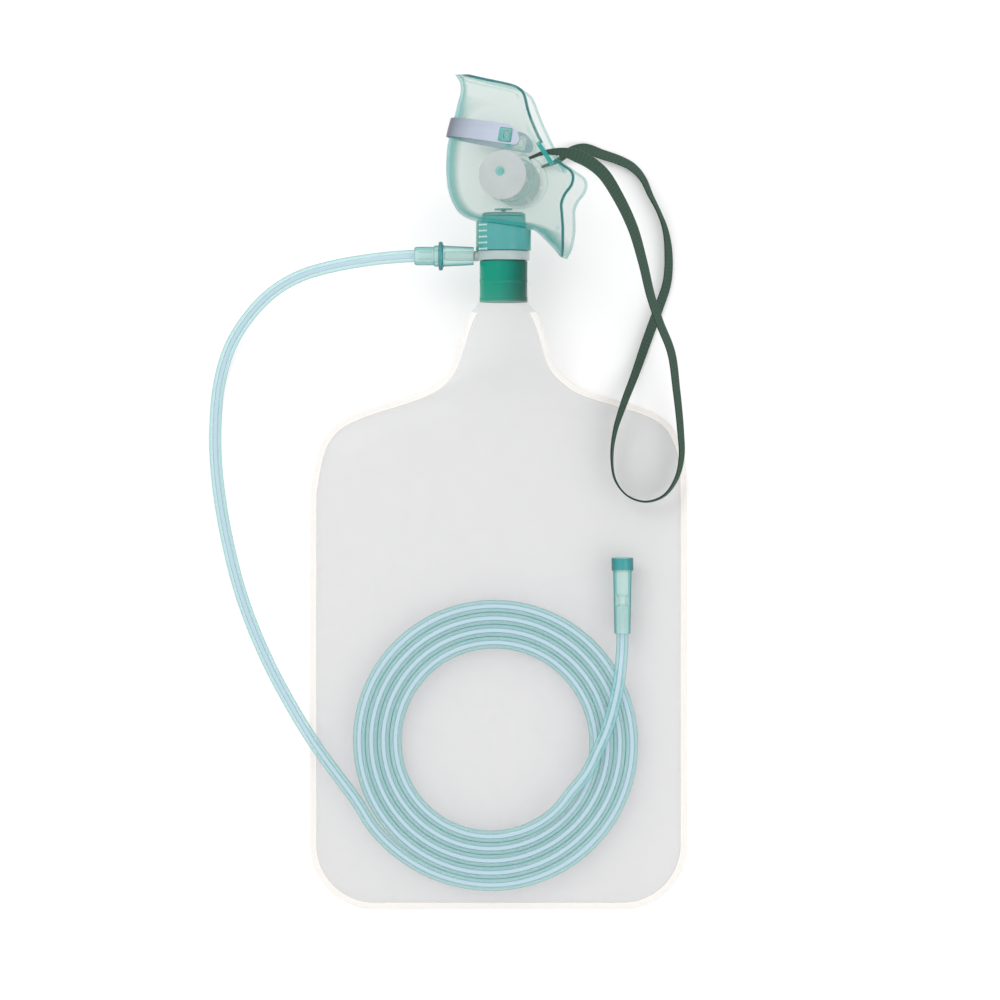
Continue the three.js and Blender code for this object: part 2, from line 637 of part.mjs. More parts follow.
// Section of the bag at y: its flat part lies on the table and its neck rises to the
// common axis.  Points run anticlockwise seen from +Y.
function bagSection(y) {
  const { half, middle } = bagOutline(y);
  const neck = THREE.MathUtils.smoothstep(y, 44, neckFilm.bottom - 2);
  const toBottom = (y - bag.bottom) / bag.slope;
  const points = [];
  for (let i = 0; i < 2 * bag.columns; i += 1) {
    const angle = Math.PI * i / bag.columns;
    const upper = i <= bag.columns;
    const across = half * Math.cos(angle);
    const inward = Math.min((half - Math.abs(across)) / bag.slope, toBottom, 1);
    const rise = bag.weld + (bagTop - bag.weld) * Math.sin(Math.max(inward, 0) * Math.PI / 2);
    const flat = new THREE.Vector3(middle - across, y, upper ? rise : 0);
    const round = new THREE.Vector3(
      axisX - half * Math.cos(angle), y, axisZ + neckFilm.outer * Math.sin(angle),
    );
    points.push(flat.lerp(round, neck));
  }
  return points;
}

// Flat bag with a tube-shaped neck that reaches around the collar.
function reservoirBag() {
  const cornerYs = [0, 0.08, 0.2, 0.38, 0.62, 1].map((u) => bag.bottom + bag.cornerRadius * u);
  const sideYs = [-140, -90, -45];
  const shoulderYs = bagShoulder.map((station) => station[0]).reverse();
  const ys = [...cornerYs, ...sideYs, ...shoulderYs];
  const rings = ys.map(bagSection);
  const neckRing = [];
  for (let i = 0; i < 2 * bag.columns; i += 1) {
    const angle = Math.PI * i / bag.columns;
    const x = axisX - neckFilm.outer * Math.cos(angle);
    neckRing.push(new THREE.Vector3(x, neckFilm.bottom, axisZ + neckFilm.outer * Math.sin(angle)));
  }
  const body = toSolid(lofted([...rings, neckRing]));
  const film = ring(neckFilm.inner, neckFilm.outer, neckFilm.bottom - overlap, neckFilm.top, 2 * bag.columns);
  return toGeometry(body.add(toSolid(film.translate(axisX, 0, axisZ))));
}

// ---------------------------------------------------------------- tube and its ends

function inletConnector() {
  const { bore, boreDepth, lumen, web, tubeBore, barrel, flange, flangeStart, length } = inlet;
  const shape = turned([
    [inlet.taperNear, 0], [inlet.taperFar, flangeStart], [flange - 0.5, flangeStart],
    [flange, flangeStart + 0.6], [flange, web - 0.6], [flange - 0.5, web], [barrel, web],
    [barrel, length - 0.8], [barrel - 0.5, length], [tubeBore, length], [tubeBore, web],
    [lumen, web], [lumen, boreDepth + 0.6], [bore, boreDepth], [bore, 0],
  ], 32);
  return shape.rotateZ(Math.PI / 2).translate(inlet.x, nipple.y, axisZ);
}

function supplyConnector() {
  const { mouth, bore, boreDepth, waist, waistEnd, tubeBore, length, flange, flangeLength } = supply;
  const shape = turned([
    [flange - 0.3, 0], [flange, 0.6], [flange, flangeLength - 0.6], [flange - 0.4, flangeLength],
    [supply.bodyNear, flangeLength], [supply.bodyFar, length], [tubeBore, length],
    [tubeBore, waistEnd], [waist, waistEnd - 1.5], [waist, boreDepth + 1.5], [bore, boreDepth],
    [bore, 3.4], [mouth, 0],
  ], 32);
  return shape.rotateX(Math.PI).translate(supply.x, supply.y, supplyZ);
}

// ---------------------------------------------------------------------- head strap

// Flat band along the strap's route, turned about its length as the route says.
function headStrap() {
  const path = new THREE.CatmullRomCurve3(
    strapRoute.map(([x, y, z]) => new THREE.Vector3(x, y, z)), false, 'centripetal',
  );
  const turnAt = smoothColumn(strapRoute.map((station) => station[3]));
  const up = new THREE.Vector3(0, 0, 1);
  const corners = [
    [1, 0.5], [0.94, 1], [-0.94, 1], [-1, 0.5], [-1, -0.5], [-0.94, -1], [0.94, -1], [1, -0.5],
  ];
  const rings = [];
  for (let i = 0; i <= strap.steps; i += 1) {
    const u = i / strap.steps;
    const centre = path.getPoint(u);
    const forward = path.getTangent(u);
    const left = new THREE.Vector3().crossVectors(up, forward).normalize();
    const upright = new THREE.Vector3().crossVectors(forward, left);
    const turn = THREE.MathUtils.degToRad(turnAt(u));
    const face = upright.clone().multiplyScalar(Math.cos(turn)).addScaledVector(left, Math.sin(turn));
    const edge = new THREE.Vector3().crossVectors(forward, face);
    rings.push(corners.map(([a, b]) => centre.clone()
      .addScaledVector(edge, -a * strap.width / 2)
      .addScaledVector(face, b * strap.thickness / 2)));
  }
  return lofted(rings);
}

// ------------------------------------------------------------------------ assembly

piece('mask_shell', maskShell(), clearMask(), maskGroup);
piece('nose_clip', noseClip(), aluminium(), maskGroup);
piece('exhalation_flap_near', toGeometry(exhalationFlap()), silicone(), maskGroup);
piece('exhalation_flap_far', toGeometry(mirrored(exhalationFlap())), silicone(), maskGroup);
piece('swivel_connector', swivelConnector(), tealPlastic(), maskGroup);
piece('inhalation_valve_seat', inhalationSeat(), tealPlastic(), maskGroup);
piece('inhalation_flap', ring(flap.hole, flap.radius, flap.bottom, flap.top), silicone(), maskGroup);
piece('inhalation_flap_retainer', inhalationRetainer(), tealPlastic(), maskGroup);
axisPiece('gas_manifold', gasManifold(), whitePlastic());
axisPiece('bag_collar', ring(collar.bore, collar.radius, collar.bottom, collar.top), greenSleeve());
const bandBottom = neckBand.y - neckBand.height / 2;
const bandRing = ring(neckBand.inner, neckBand.outer, bandBottom, bandBottom + neckBand.height);
axisPiece('neck_band', bandRing, clearFilm());
piece('reservoir_bag', reservoirBag(), clearFilm());
piece('inlet_connector', inletConnector(), tealPlastic());
piece('oxygen_tube_run', tubeAlong(runRoute, 36), clearTube());
const coilBottom = bagTop + gap;
const coilRing = ring(coil.inner, coil.outer, coilBottom, coilBottom + 2 * tube.radius, 64);
piece('oxygen_tube_coil', coilRing.rotateX(Math.PI / 2).translate(coil.x, coil.y, 0), clearTube());
piece('oxygen_tube_tail', tubeAlong(tailRoute, 14), clearTube());
piece('supply_connector', supplyConnector(), tealPlastic());
piece('head_strap', headStrap(), elastic());

export default object;
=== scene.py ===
"""Looks of an oxygen mask with reservoir bag, oxygen tube and head strap.

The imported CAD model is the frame: its parts give the places and most of the sizes.
Tables and named sizes below are in millimetres; Blender's objects are in metres.
"""

import json
import math

import bmesh
import bpy
import numpy as np
from mathutils import Matrix, Vector, kdtree


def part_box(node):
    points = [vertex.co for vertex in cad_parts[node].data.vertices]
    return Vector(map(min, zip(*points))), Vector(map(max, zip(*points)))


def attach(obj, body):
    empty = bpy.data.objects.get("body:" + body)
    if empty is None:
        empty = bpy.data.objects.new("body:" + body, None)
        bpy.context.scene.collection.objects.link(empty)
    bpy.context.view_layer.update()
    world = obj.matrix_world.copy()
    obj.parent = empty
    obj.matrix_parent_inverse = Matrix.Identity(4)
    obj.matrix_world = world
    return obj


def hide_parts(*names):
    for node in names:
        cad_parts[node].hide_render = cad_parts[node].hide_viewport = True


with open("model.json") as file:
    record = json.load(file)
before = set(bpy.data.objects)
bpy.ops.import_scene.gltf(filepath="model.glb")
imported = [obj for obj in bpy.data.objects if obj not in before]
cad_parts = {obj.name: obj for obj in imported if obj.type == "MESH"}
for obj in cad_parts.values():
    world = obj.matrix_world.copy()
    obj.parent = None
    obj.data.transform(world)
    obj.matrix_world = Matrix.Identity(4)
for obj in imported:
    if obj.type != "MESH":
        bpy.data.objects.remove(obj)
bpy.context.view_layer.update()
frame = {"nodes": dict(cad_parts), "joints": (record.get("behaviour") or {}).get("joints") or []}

MM = 0.001


def millimetres(node):
    """Lowest and highest corner of a CAD node, in millimetres."""
    low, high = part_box(node)
    return np.array(low) / MM, np.array(high) / MM


swivel_joint = next(j for j in frame["joints"] if j["name"] == "mask_swivel")
AXIS_X, _, AXIS_Z = [value / MM for value in swivel_joint["pos_m"]]
MASK_YAW = math.radians(-6.2)
NIPPLE_Y = 117.5
TUBE_RADIUS = 3.0
ON_BAG = millimetres("oxygen_tube_coil")[0][2] + TUBE_RADIUS
OVER_COIL = ON_BAG + 2 * TUBE_RADIUS + 0.3
SUPPLY_LOW, SUPPLY_HIGH = millimetres("supply_connector")
SUPPLY_X = (SUPPLY_LOW[0] + SUPPLY_HIGH[0]) / 2
SUPPLY_Z = (SUPPLY_LOW[2] + SUPPLY_HIGH[2]) / 2


# ---------------- camera and light

CAMERA_LENS = 201.6
CAMERA_PLACE = (0.00075, -0.00295, 2.8)


def make_camera():
    """Camera straight above the table, far away, as in a product photograph."""
    data = bpy.data.cameras.new("camera")
    data.sensor_width = 36
    data.lens = CAMERA_LENS
    camera = bpy.data.objects.new("camera", data)
    camera.location = CAMERA_PLACE
    bpy.context.scene.collection.objects.link(camera)
    bpy.context.scene.camera = camera


def make_area_light(name, place, size, watts):
    """Square soft light aimed at the middle of the object."""
    data = bpy.data.lights.new(name, "AREA")
    data.size = size
    data.energy = watts
    light = bpy.data.objects.new(name, data)
    light.location = place
    light.rotation_euler = (-Vector(place)).to_track_quat("-Z", "Y").to_euler()
    bpy.context.scene.collection.objects.link(light)


def make_studio():
    """White surroundings and two large soft lights."""
    world = bpy.data.worlds.new("studio")
    world.use_nodes = True
    background = world.node_tree.nodes["Background"]
    background.inputs["Color"].default_value = (1, 1, 1, 1)
    background.inputs["Strength"].default_value = 0.95
    bpy.context.scene.world = world
    bpy.context.scene.view_settings.view_transform = "Standard"
    make_area_light("key_light", (-0.9, 0.9, 1.6), 1.0, 9)
    make_area_light("fill_light", (1.2, -0.6, 1.4), 1.2, 5)


# ---------------- mesh tools

def hermite(first, last, start, end, w):
    """Value at w from 0 to 1 on the cubic with these ends and slopes."""
    cubic = (2 * first - 2 * last + start + end) * w ** 3
    return cubic + (3 * last - 3 * first - 2 * start - end) * w ** 2 + start * w + first


def eased(share):
    """Share from 0 to 1 that leaves 0 and reaches 1 gently."""
    return share * share * (3 - 2 * share)


def smooth_values(values):
    """Function of u from 0 to 1 that runs smoothly through evenly spaced values."""
    first = 2 * values[0] - values[1]
    beyond = 2 * values[-1] - values[-2]
    padded = np.array([first, *values, beyond], float)
    last = len(values) - 1

    def at(u):
        place = np.clip(u, 0, 1) * last
        k = np.minimum(np.floor(place).astype(int), last - 1)
        w = place - k
        a, b, c, d = padded[k], padded[k + 1], padded[k + 2], padded[k + 3]
        return hermite(b, c, (c - a) / 2, (d - b) / 2, w)

    return at


def smooth_path(points, spacing):
    """Evenly spaced points on a centripetal Catmull-Rom curve through the given ones."""
    points = np.array(points, float)
    padded = np.vstack([2 * points[0] - points[1], points, 2 * points[-1] - points[-2]])
    fine = []
    steps = np.linspace(0, 1, 24, endpoint=False)[:, None]
    for p0, p1, p2, p3 in zip(padded, padded[1:], padded[2:], padded[3:]):
        d0, d1, d2 = (math.sqrt(np.linalg.norm(b - a)) for a, b in ((p0, p1), (p1, p2), (p2, p3)))
        start = ((p1 - p0) / d0 - (p2 - p0) / (d0 + d1) + (p2 - p1) / d1) * d1
        end = ((p2 - p1) / d1 - (p3 - p1) / (d1 + d2) + (p3 - p2) / d2) * d1
        fine.append(hermite(p1, p2, start, end, steps))
    return even_path(np.vstack([*fine, points[-1:]]), spacing)


def lengths_along(points):
    """Distance of each point from the first one, along the line."""
    return np.concatenate([[0], np.cumsum(np.linalg.norm(np.diff(points, axis=0), axis=1))])


def even_path(points, spacing):
    """The same line with points at even distances along it."""
    along = lengths_along(points)
    count = max(int(round(along[-1] / spacing)), 2)
    wanted = np.linspace(0, along[-1], count + 1)
    return np.column_stack([np.interp(wanted, along, points[:, k]) for k in range(3)])


def unit(vectors):
    return vectors / np.linalg.norm(vectors, axis=-1, keepdims=True)


def moved(shape, matrix):
    """A (vertices, faces) shape moved by a 4 x 4 matrix."""
    points, faces = shape
    m = np.array(matrix)
    return points @ m[:3, :3].T + m[:3, 3], faces


def shifted(shape, x, y, z):
    return moved(shape, Matrix.Translation((x, y, z)))


def placed(x, y, z, angle, axis):
    """Matrix that turns about an axis and then moves to a place."""
    return Matrix.Translation((x, y, z)) @ Matrix.Rotation(angle, 4, axis)


def joined(*shapes):
    """Several shapes as one."""
    points = []
    faces = []
    offset = 0
    for part_points, part_faces in shapes:
        points.append(part_points)
        faces += [tuple(k + offset for k in face) for face in part_faces]
        offset += len(part_points)
    return np.vstack(points), faces


def grid_faces(rows, columns, around=False, flip=False):
    """Quads over rows x columns points, the columns closing on themselves when around."""
    faces = []
    for i in range(rows - 1):
        for j in range(columns if around else columns - 1):
            k = (j + 1) % columns
            face = (i * columns + j, i * columns + k, (i + 1) * columns + k, (i + 1) * columns + j)
            faces.append(face[::-1] if flip else face)
    return faces


def swept_faces(rows, count):
    """Faces round a body with rows of count points, and its two end caps."""
    last = (rows - 1) * count
    caps = [tuple(range(count))[::-1], tuple(range(last, last + count))]
    return grid_faces(rows, count, around=True) + caps


def shell_faces(rows, columns):
    """Closed body between an outer sheet of points and the inner sheet that follows it."""
    size = rows * columns
    faces = grid_faces(rows, columns, flip=True)
    faces += [tuple(k + size for k in face) for face in grid_faces(rows, columns)]
    right, bottom = columns - 1, size - columns
    for a in range(0, bottom, columns):
        b = a + columns
        faces.append((a, b, b + size, a + size))
        faces.append((a + right, a + right + size, b + right + size, b + right))
    for a in range(right):
        c = bottom + a
        faces.append((a, a + size, a + 1 + size, a + 1))
        faces.append((c, c + 1, c + 1 + size, c + size))
    return faces


def rounded(outline, radius, steps=4):
    """A closed outline with its corners rounded off."""
    corners = np.array(outline, float)
    points = []
    for before, corner, after in zip(np.roll(corners, 1, 0), corners, np.roll(corners, -1, 0)):
        to_before, to_after = before - corner, after - corner
        reach_before, reach_after = np.linalg.norm(to_before), np.linalg.norm(to_after)
        cut = min(radius, 0.45 * reach_before, 0.45 * reach_after)
        start = corner + to_before / reach_before * cut
        end = corner + to_after / reach_after * cut
        for k in range(steps + 1):
            u = k / steps
            points.append((1 - u) ** 2 * start + 2 * u * (1 - u) * corner + u ** 2 * end)
    return np.array(points)


def turned(outline, segments=96):
    """Body of revolution about Y from a closed outline of (radius, y) points."""
    outline = np.array(outline, float)
    angles = np.linspace(0, 2 * math.pi, segments, endpoint=False)
    rings = [
        np.column_stack([
            outline[:, 0] * math.cos(a), outline[:, 1], outline[:, 0] * math.sin(a),
        ]) for a in angles
    ]
    count = len(outline)
    total = segments * count
    faces = [tuple(k % total for k in face) for face in grid_faces(segments + 1, count, around=True)]
    return np.vstack(rings), faces


def pipe(inner, outer, bottom, top, bevel=0.0, segments=96):
    """Ring or, with no inner radius, disc about Y."""
    outline = [(inner, bottom), (outer, bottom), (outer, top), (inner, top)]
    return turned(rounded(outline, bevel) if bevel and inner > 0 else outline, segments)


def disc(radius, bottom, top, bevel=0.2, segments=48):
    """Solid disc about Y with softened edges."""
    outline = [
        (0, bottom), (radius - bevel, bottom), (radius - 0.3 * bevel, bottom + 0.3 * bevel),
        (radius, bottom + bevel), (radius, top - bevel),
        (radius - 0.3 * bevel, top - 0.3 * bevel), (radius - bevel, top), (0, top),
    ]
    return turned(outline, segments)


def block(width, depth, height, bevel=0.25):
    """Box about the origin with bevelled edges."""
    bm = bmesh.new()
    bmesh.ops.create_cube(bm, size=1)
    bmesh.ops.scale(bm, vec=(width, depth, height), verts=bm.verts)
    bmesh.ops.bevel(bm, geom=bm.edges[:], offset=bevel, segments=3, affect="EDGES")
    points = np.array([v.co[:] for v in bm.verts])
    faces = [tuple(v.index for v in face.verts) for face in bm.faces]
    bm.free()
    return points, faces


def mesh_object(name, points, faces):
    """Object in the scene with the mesh of these points and faces."""
    mesh = bpy.data.meshes.new(name)
    mesh.from_pydata([tuple(p) for p in points], [], faces)
    piece = bpy.data.objects.new(name, mesh)
    bpy.context.scene.collection.objects.link(piece)
    return piece


def solid(name, shape):
    """Object with the shape's mesh, its faces pointing outwards, still in millimetres."""
    piece = mesh_object(name, *shape)
    bm = bmesh.new()
    bm.from_mesh(piece.data)
    bmesh.ops.remove_doubles(bm, verts=bm.verts, dist=1e-5)
    bmesh.ops.dissolve_degenerate(bm, edges=bm.edges, dist=1e-6)
    bmesh.ops.recalc_face_normals(bm, faces=bm.faces)
    bm.to_mesh(piece.data)
    bm.free()
    return piece


def combine(piece, shape, operation):
    """Joins a shape to a piece (UNION), cuts it out (DIFFERENCE) or keeps what both share."""
    tool = solid("tool", shape)
    change = piece.modifiers.new("change", "BOOLEAN")
    change.operation = operation
    change.solver = "MANIFOLD"
    change.object = tool
    evaluated = piece.evaluated_get(bpy.context.evaluated_depsgraph_get())
    mesh = bpy.data.meshes.new_from_object(evaluated)
    piece.modifiers.clear()
    piece.data = mesh
    bpy.data.objects.remove(tool)
    return piece


def finished(piece, look, body, replaces=(), place=Matrix.Identity(4), crease=32):
    """Scales a piece to metres, smooths it, gives it its material and body, and hides the CAD parts
    it replaces.
    """
    piece.data.transform(Matrix.Scale(MM, 4) @ place)
    bm = bmesh.new()
    bm.from_mesh(piece.data)
    limit = math.radians(crease)
    for face in bm.faces:
        face.smooth = True
    for edge in bm.edges:
        edge.smooth = len(edge.link_faces) != 2 or edge.calc_face_angle(0) < limit
    bm.to_mesh(piece.data)
    bm.free()
    piece.data.materials.clear()
    piece.data.materials.append(look)
    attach(piece, body)
    if replaces:
        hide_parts(*replaces)
    return piece


def shadeless(piece):
    """Clear plastic hardly shades what lies under it: shadow and diffuse rays pass through."""
    piece.visible_shadow = False
    piece.visible_diffuse = False


def store(piece, name, values):
    """Keeps one number for each vertex, for a material to read."""
    attribute = piece.data.attributes.new(name, "FLOAT", "POINT")
    attribute.data.foreach_set("value", np.asarray(values, np.float32))


def mark(piece, name, value_at):
    """Keeps a number that follows from each vertex's place."""
    store(piece, name, [float(value_at(vertex.co)) for vertex in piece.data.vertices])


# ---------------- materials

class Look:
    """Principled material whose nodes are added one by one."""

    def __init__(self, name, color, roughness, **sockets):
        self.material = bpy.data.materials.new(name)
        self.material.use_nodes = True
        self.tree = self.material.node_tree
        self.shader = self.tree.nodes["Principled BSDF"]
        self.set("Base Color", (*color, 1))
        self.set("Roughness", roughness)
        for socket, value in sockets.items():
            self.set(socket.replace("_", " "), value)

    def set(self, socket, value):
        self.shader.inputs[socket].default_value = value

    def link(self, output, socket):
        self.tree.links.new(output, self.shader.inputs[socket])

    def feed(self, socket, value):
        """Links a socket to another node's output, or sets it to a plain value."""
        if hasattr(value, "links"):
            self.tree.links.new(value, socket)
        else:
            socket.default_value = value

    def node(self, kind, **inputs):
        node = self.tree.nodes.new(kind)
        for name, value in inputs.items():
            self.feed(node.inputs[name.replace("_", " ")], value)
        return node

    def position(self):
        return self.node("ShaderNodeNewGeometry").outputs["Position"]

    def noise(self, scale, detail=3.0, distortion=0.0):
        node = self.node(
            "ShaderNodeTexNoise", Vector=self.position(), Scale=scale, Detail=detail,
            Distortion=distortion,
        )
        return node.outputs["Fac"]

    def facing(self):
        return self.node("ShaderNodeLayerWeight", Blend=0.5).outputs["Facing"]

    def attribute(self, name):
        node = self.node("ShaderNodeAttribute")
        node.attribute_name = name
        return node.outputs["Fac"]

    def ranged(self, value, low, high, out_low, out_high):
        node = self.node(
            "ShaderNodeMapRange", Value=value, From_Min=low, From_Max=high, To_Min=out_low,
            To_Max=out_high,
        )
        return node.outputs["Result"]

    def cloud(self, scale, out_low=0, out_high=1):
        """Soft patches that run between two values."""
        return self.ranged(self.noise(scale), 0.3, 0.7, out_low, out_high)

    def ramp(self, value, *stops):
        node = self.node("ShaderNodeValToRGB", Fac=value)
        elements = node.color_ramp.elements
        while len(elements) < len(stops):
            elements.new(0.5)
        for element, (place, color) in zip(elements, stops):
            element.position = place
            element.color = (*color, 1)
        return node.outputs["Color"]

    def math(self, operation, first, second):
        node = self.tree.nodes.new("ShaderNodeMath")
        node.operation = operation
        self.feed(node.inputs[0], first)
        self.feed(node.inputs[1], second)
        return node.outputs["Value"]

    def mixed(self, share, first, second):
        """Colour that goes from the first to the second as share goes from 0 to 1."""
        node = self.tree.nodes.new("ShaderNodeMix")
        node.data_type = "RGBA"
        self.tree.links.new(share, node.inputs[0])
        self.tree.links.new(first, node.inputs[6])
        self.tree.links.new(second, node.inputs[7])
        return node.outputs[2]

    def bump(self, height, distance, strength=1.0):
        node = self.node("ShaderNodeBump", Height=height, Distance=distance, Strength=strength)
        self.link(node.outputs["Normal"], "Normal")


def mask_material():
    look = Look("clear_mask", (0.11, 0.31, 0.25), 0.14, IOR=1.52)
    facing = look.facing()
    edge = look.attribute("edge")
    through = look.ranged(facing, 0.36, 0.96, 0.12, 0.85)
    look.link(look.math("MAXIMUM", through, look.ranged(edge, 0, 1, 0, 0.96)), "Alpha")
    wall = look.ramp(
        facing, (0.40, (0.14, 0.33, 0.26)), (0.78, (0.06, 0.40, 0.39)), (0.93, (0.0, 0.24, 0.26)),
        (0.99, (0.0, 0.12, 0.15)))
    thick = look.ramp(
        edge, (0.0, (0.10, 0.34, 0.30)), (0.45, (0.06, 0.42, 0.38)), (0.78, (0.0, 0.34, 0.29)),
        (1.0, (0.0, 0.11, 0.12)))
    look.link(look.mixed(look.ranged(edge, 0.02, 0.3, 0, 1), wall, thick), "Base Color")
    look.link(look.cloud(90, 0.10, 0.20), "Roughness")
    look.bump(look.noise(160, 2), 0.00006)
    return look.material


def teal_material():
    """Deep plastic, greener where it is seen edge-on, with a painted highlight: a pale colour on the
    grip bars.
    """
    look = Look("teal_plastic", (0.045, 0.36, 0.35), 0.2, IOR=1.5)
    look.link(look.ranged(look.facing(), 0.45, 0.97, 0.80, 0.97), "Alpha")
    look.link(look.cloud(120, 0.16, 0.28), "Roughness")
    look.bump(look.noise(210, 2), 0.00008)
    cloud = look.cloud(60)
    front = look.ramp(cloud, (0.0, (0.075, 0.36, 0.36)), (1.0, (0.095, 0.42, 0.41)))
    side = look.ramp(cloud, (0.0, (0.01, 0.29, 0.24)), (1.0, (0.02, 0.33, 0.28)))
    body = look.mixed(look.ranged(look.facing(), 0.3, 0.6, 0, 1), front, side)
    # painted highlight: the grip bars, marked by the 'light' attribute, get a pale colour for the
    # shine they catch
    bars = look.ramp(cloud, (0.0, (0.42, 0.74, 0.68)), (1.0, (0.46, 0.78, 0.72)))
    look.link(look.mixed(look.attribute("light"), body, bars), "Base Color")
    return look.material


def connector_material():
    """Clear teal: pale where the bore shows, dark where walls are seen edge-on."""
    look = Look("clear_teal_plastic", (0.10, 0.50, 0.46), 0.1, IOR=1.5)
    facing = look.facing()
    bore = look.attribute("bore")
    flange = look.attribute("flange")
    wall = look.ramp(
        facing, (0.12, (0.50, 0.86, 0.80)), (0.42, (0.12, 0.52, 0.50)), (0.72, (0.0, 0.11, 0.14)))
    hollow = look.ramp(
        facing, (0.15, (0.86, 1.0, 0.97)), (0.45, (0.50, 0.84, 0.77)), (0.75, (0.0, 0.11, 0.13)))
    deep = look.ramp(facing, (0.1, (0.02, 0.30, 0.30)), (0.7, (0.0, 0.12, 0.14)))
    look.link(look.mixed(flange, look.mixed(bore, wall, hollow), deep), "Base Color")
    through_wall = look.ranged(facing, 0.1, 0.7, 0.22, 0.92)
    share = look.math("MULTIPLY", bore, look.ranged(facing, 0.2, 0.7, 0.45, 0.95))
    thick = look.math("MULTIPLY", flange, 0.85)
    look.link(look.math("MAXIMUM", thick, look.math("MAXIMUM", through_wall, share)), "Alpha")
    look.bump(look.noise(210, 2), 0.00006)
    return look.material


def milky_material():
    look = Look(
        "white_plastic", (0.38, 0.47, 0.46), 0.3, Subsurface_Weight=0.1,
        Subsurface_Radius=(0.002, 0.002, 0.002))
    look.link(
        look.ramp(look.cloud(80), (0.0, (0.36, 0.45, 0.44)), (1.0, (0.43, 0.52, 0.51))),
        "Base Color")
    look.bump(look.noise(260, 2), 0.00004)
    return look.material


def sleeve_material():
    """Glossy green with painted shade: darker towards +x, the side away from the key light, as the
    stored 'depth' value rises.
    """
    look = Look("green_plastic", (0.0, 0.30, 0.20), 0.22, Specular_IOR_Level=0.12)
    # painted shade: 'depth' is 0 on the side towards the key light and 1 on the side away from it
    depth = look.math("ADD", look.attribute("depth"), look.cloud(45, -0.05, 0.05))
    green = look.ramp(
        depth, (0.05, (0.0, 0.28, 0.185)), (0.50, (0.0, 0.235, 0.16)), (0.95, (0.0, 0.08, 0.058)))
    look.link(green, "Base Color")
    look.bump(look.noise(180, 2), 0.00006)
    return look.material


def silicone_material():
    look = Look("silicone", (0.43, 0.47, 0.47), 0.5)
    look.link(
        look.ramp(look.cloud(140), (0.0, (0.41, 0.455, 0.455)), (1.0, (0.46, 0.50, 0.50))),
        "Base Color")
    look.bump(look.noise(900, 2), 0.00002)
    return look.material


def aluminium_material():
    """Soft strip with drawn lines along it, and painted shade: darker where it turns away from view
    at its bends.
    """
    look = Look("aluminium_strip", (0.46, 0.51, 0.60), 0.5, Metallic=0.3)
    stretch = look.node("ShaderNodeMapping", Vector=look.position(), Scale=(60, 2600, 60))
    grain = look.node(
        "ShaderNodeTexNoise", Vector=stretch.outputs["Vector"], Scale=1.0, Detail=3.0)
    line = grain.outputs["Fac"]
    look.link(look.ranged(line, 0.3, 0.7, 0.44, 0.58), "Roughness")
    # painted shade: the 'side' colour darkens the strip where it turns edge-on at the bends
    front = look.ramp(line, (0.3, (0.38, 0.43, 0.52)), (0.7, (0.44, 0.49, 0.58)))
    side = look.ramp(line, (0.3, (0.11, 0.13, 0.18)), (0.7, (0.14, 0.16, 0.21)))
    look.link(look.mixed(look.ranged(look.facing(), 0.22, 0.7, 0, 1), front, side), "Base Color")
    look.bump(line, 0.00002)
    return look.material


def tube_material():
    look = Look("clear_tube", (0.27, 0.62, 0.61), 0.08, IOR=1.5)
    facing = look.facing()
    look.link(look.ranged(facing, 0.15, 0.8, 0.32, 0.80), "Alpha")
    wall = look.ramp(
        facing, (0.08, (0.22, 0.54, 0.53)), (0.26, (0.34, 0.68, 0.66)), (0.55, (0.34, 0.66, 0.64)),
        (0.78, (0.01, 0.22, 0.25)))
    look.link(wall, "Base Color")
    look.bump(look.noise(240, 2), 0.00002)
    return look.material


def lumen_material():
    look = Look("tube_lumen", (0.66, 0.78, 0.88), 0.2)
    hollow = look.ramp(
        look.facing(), (0.40, (0.56, 0.63, 0.76)), (0.58, (0.36, 0.52, 0.60)),
        (0.78, (0.02, 0.20, 0.24)))
    look.link(hollow, "Base Color")
    look.bump(look.noise(300, 2), 0.00003)
    return look.material


def film_material():
    """Clear film: a white weld along the border, and nearly nothing on the sleeve."""
    look = Look("clear_film", (0.62, 0.63, 0.635), 0.26)
    distance = look.attribute("edge_distance")
    weld = look.ramp(
        look.ranged(distance, 0, 2 * WELD_WIDTH * MM, 0, 1),
        (0.0, (0.97, 0.93, 0.89)), (0.45, (1.0, 0.97, 0.94)), (0.52, (0.70, 0.70, 0.705)),
        (0.60, (0.68, 0.68, 0.685)),
    )
    look.link(weld, "Base Color")
    film = look.ranged(distance, 0.0026, 0.0032, 0.62, 0.27)
    sleeve = look.ranged(distance, SLEEVE_MARK * MM / 2, SLEEVE_MARK * MM, 0, 0.26)
    look.link(look.math("SUBTRACT", film, sleeve), "Alpha")
    look.link(look.cloud(40, 0.2, 0.36), "Roughness")
    look.bump(look.noise(28, 4, 0.6), 0.0008, 0.35)
    return look.material


def elastic_material():
    look = Look("elastic", (0.05, 0.11, 0.075), 0.9, Sheen_Weight=0.08, Sheen_Roughness=0.5)
    knit = look.attribute("knit")
    # the yarn's dark green, with painted shade: the grooves between the ribs (knit near 0) are
    # coloured darker than the ribs
    yarn_and_groove_shade = look.ramp(knit, (0.0, (0.006, 0.026, 0.016)), (1.0, (0.075, 0.15, 0.105)))
    look.link(yarn_and_groove_shade, "Base Color")
    look.bump(look.math("ADD", knit, look.noise(2200, 2)), 0.00012)
    return look.material


def floor_material():
    look = Look("floor", (0.95, 0.95, 0.95), 0.6)
    look.link(look.ranged(look.noise(3, 2), 0.3, 0.7, 0.55, 0.7), "Roughness")
    return look.material


# ---------------- the cords

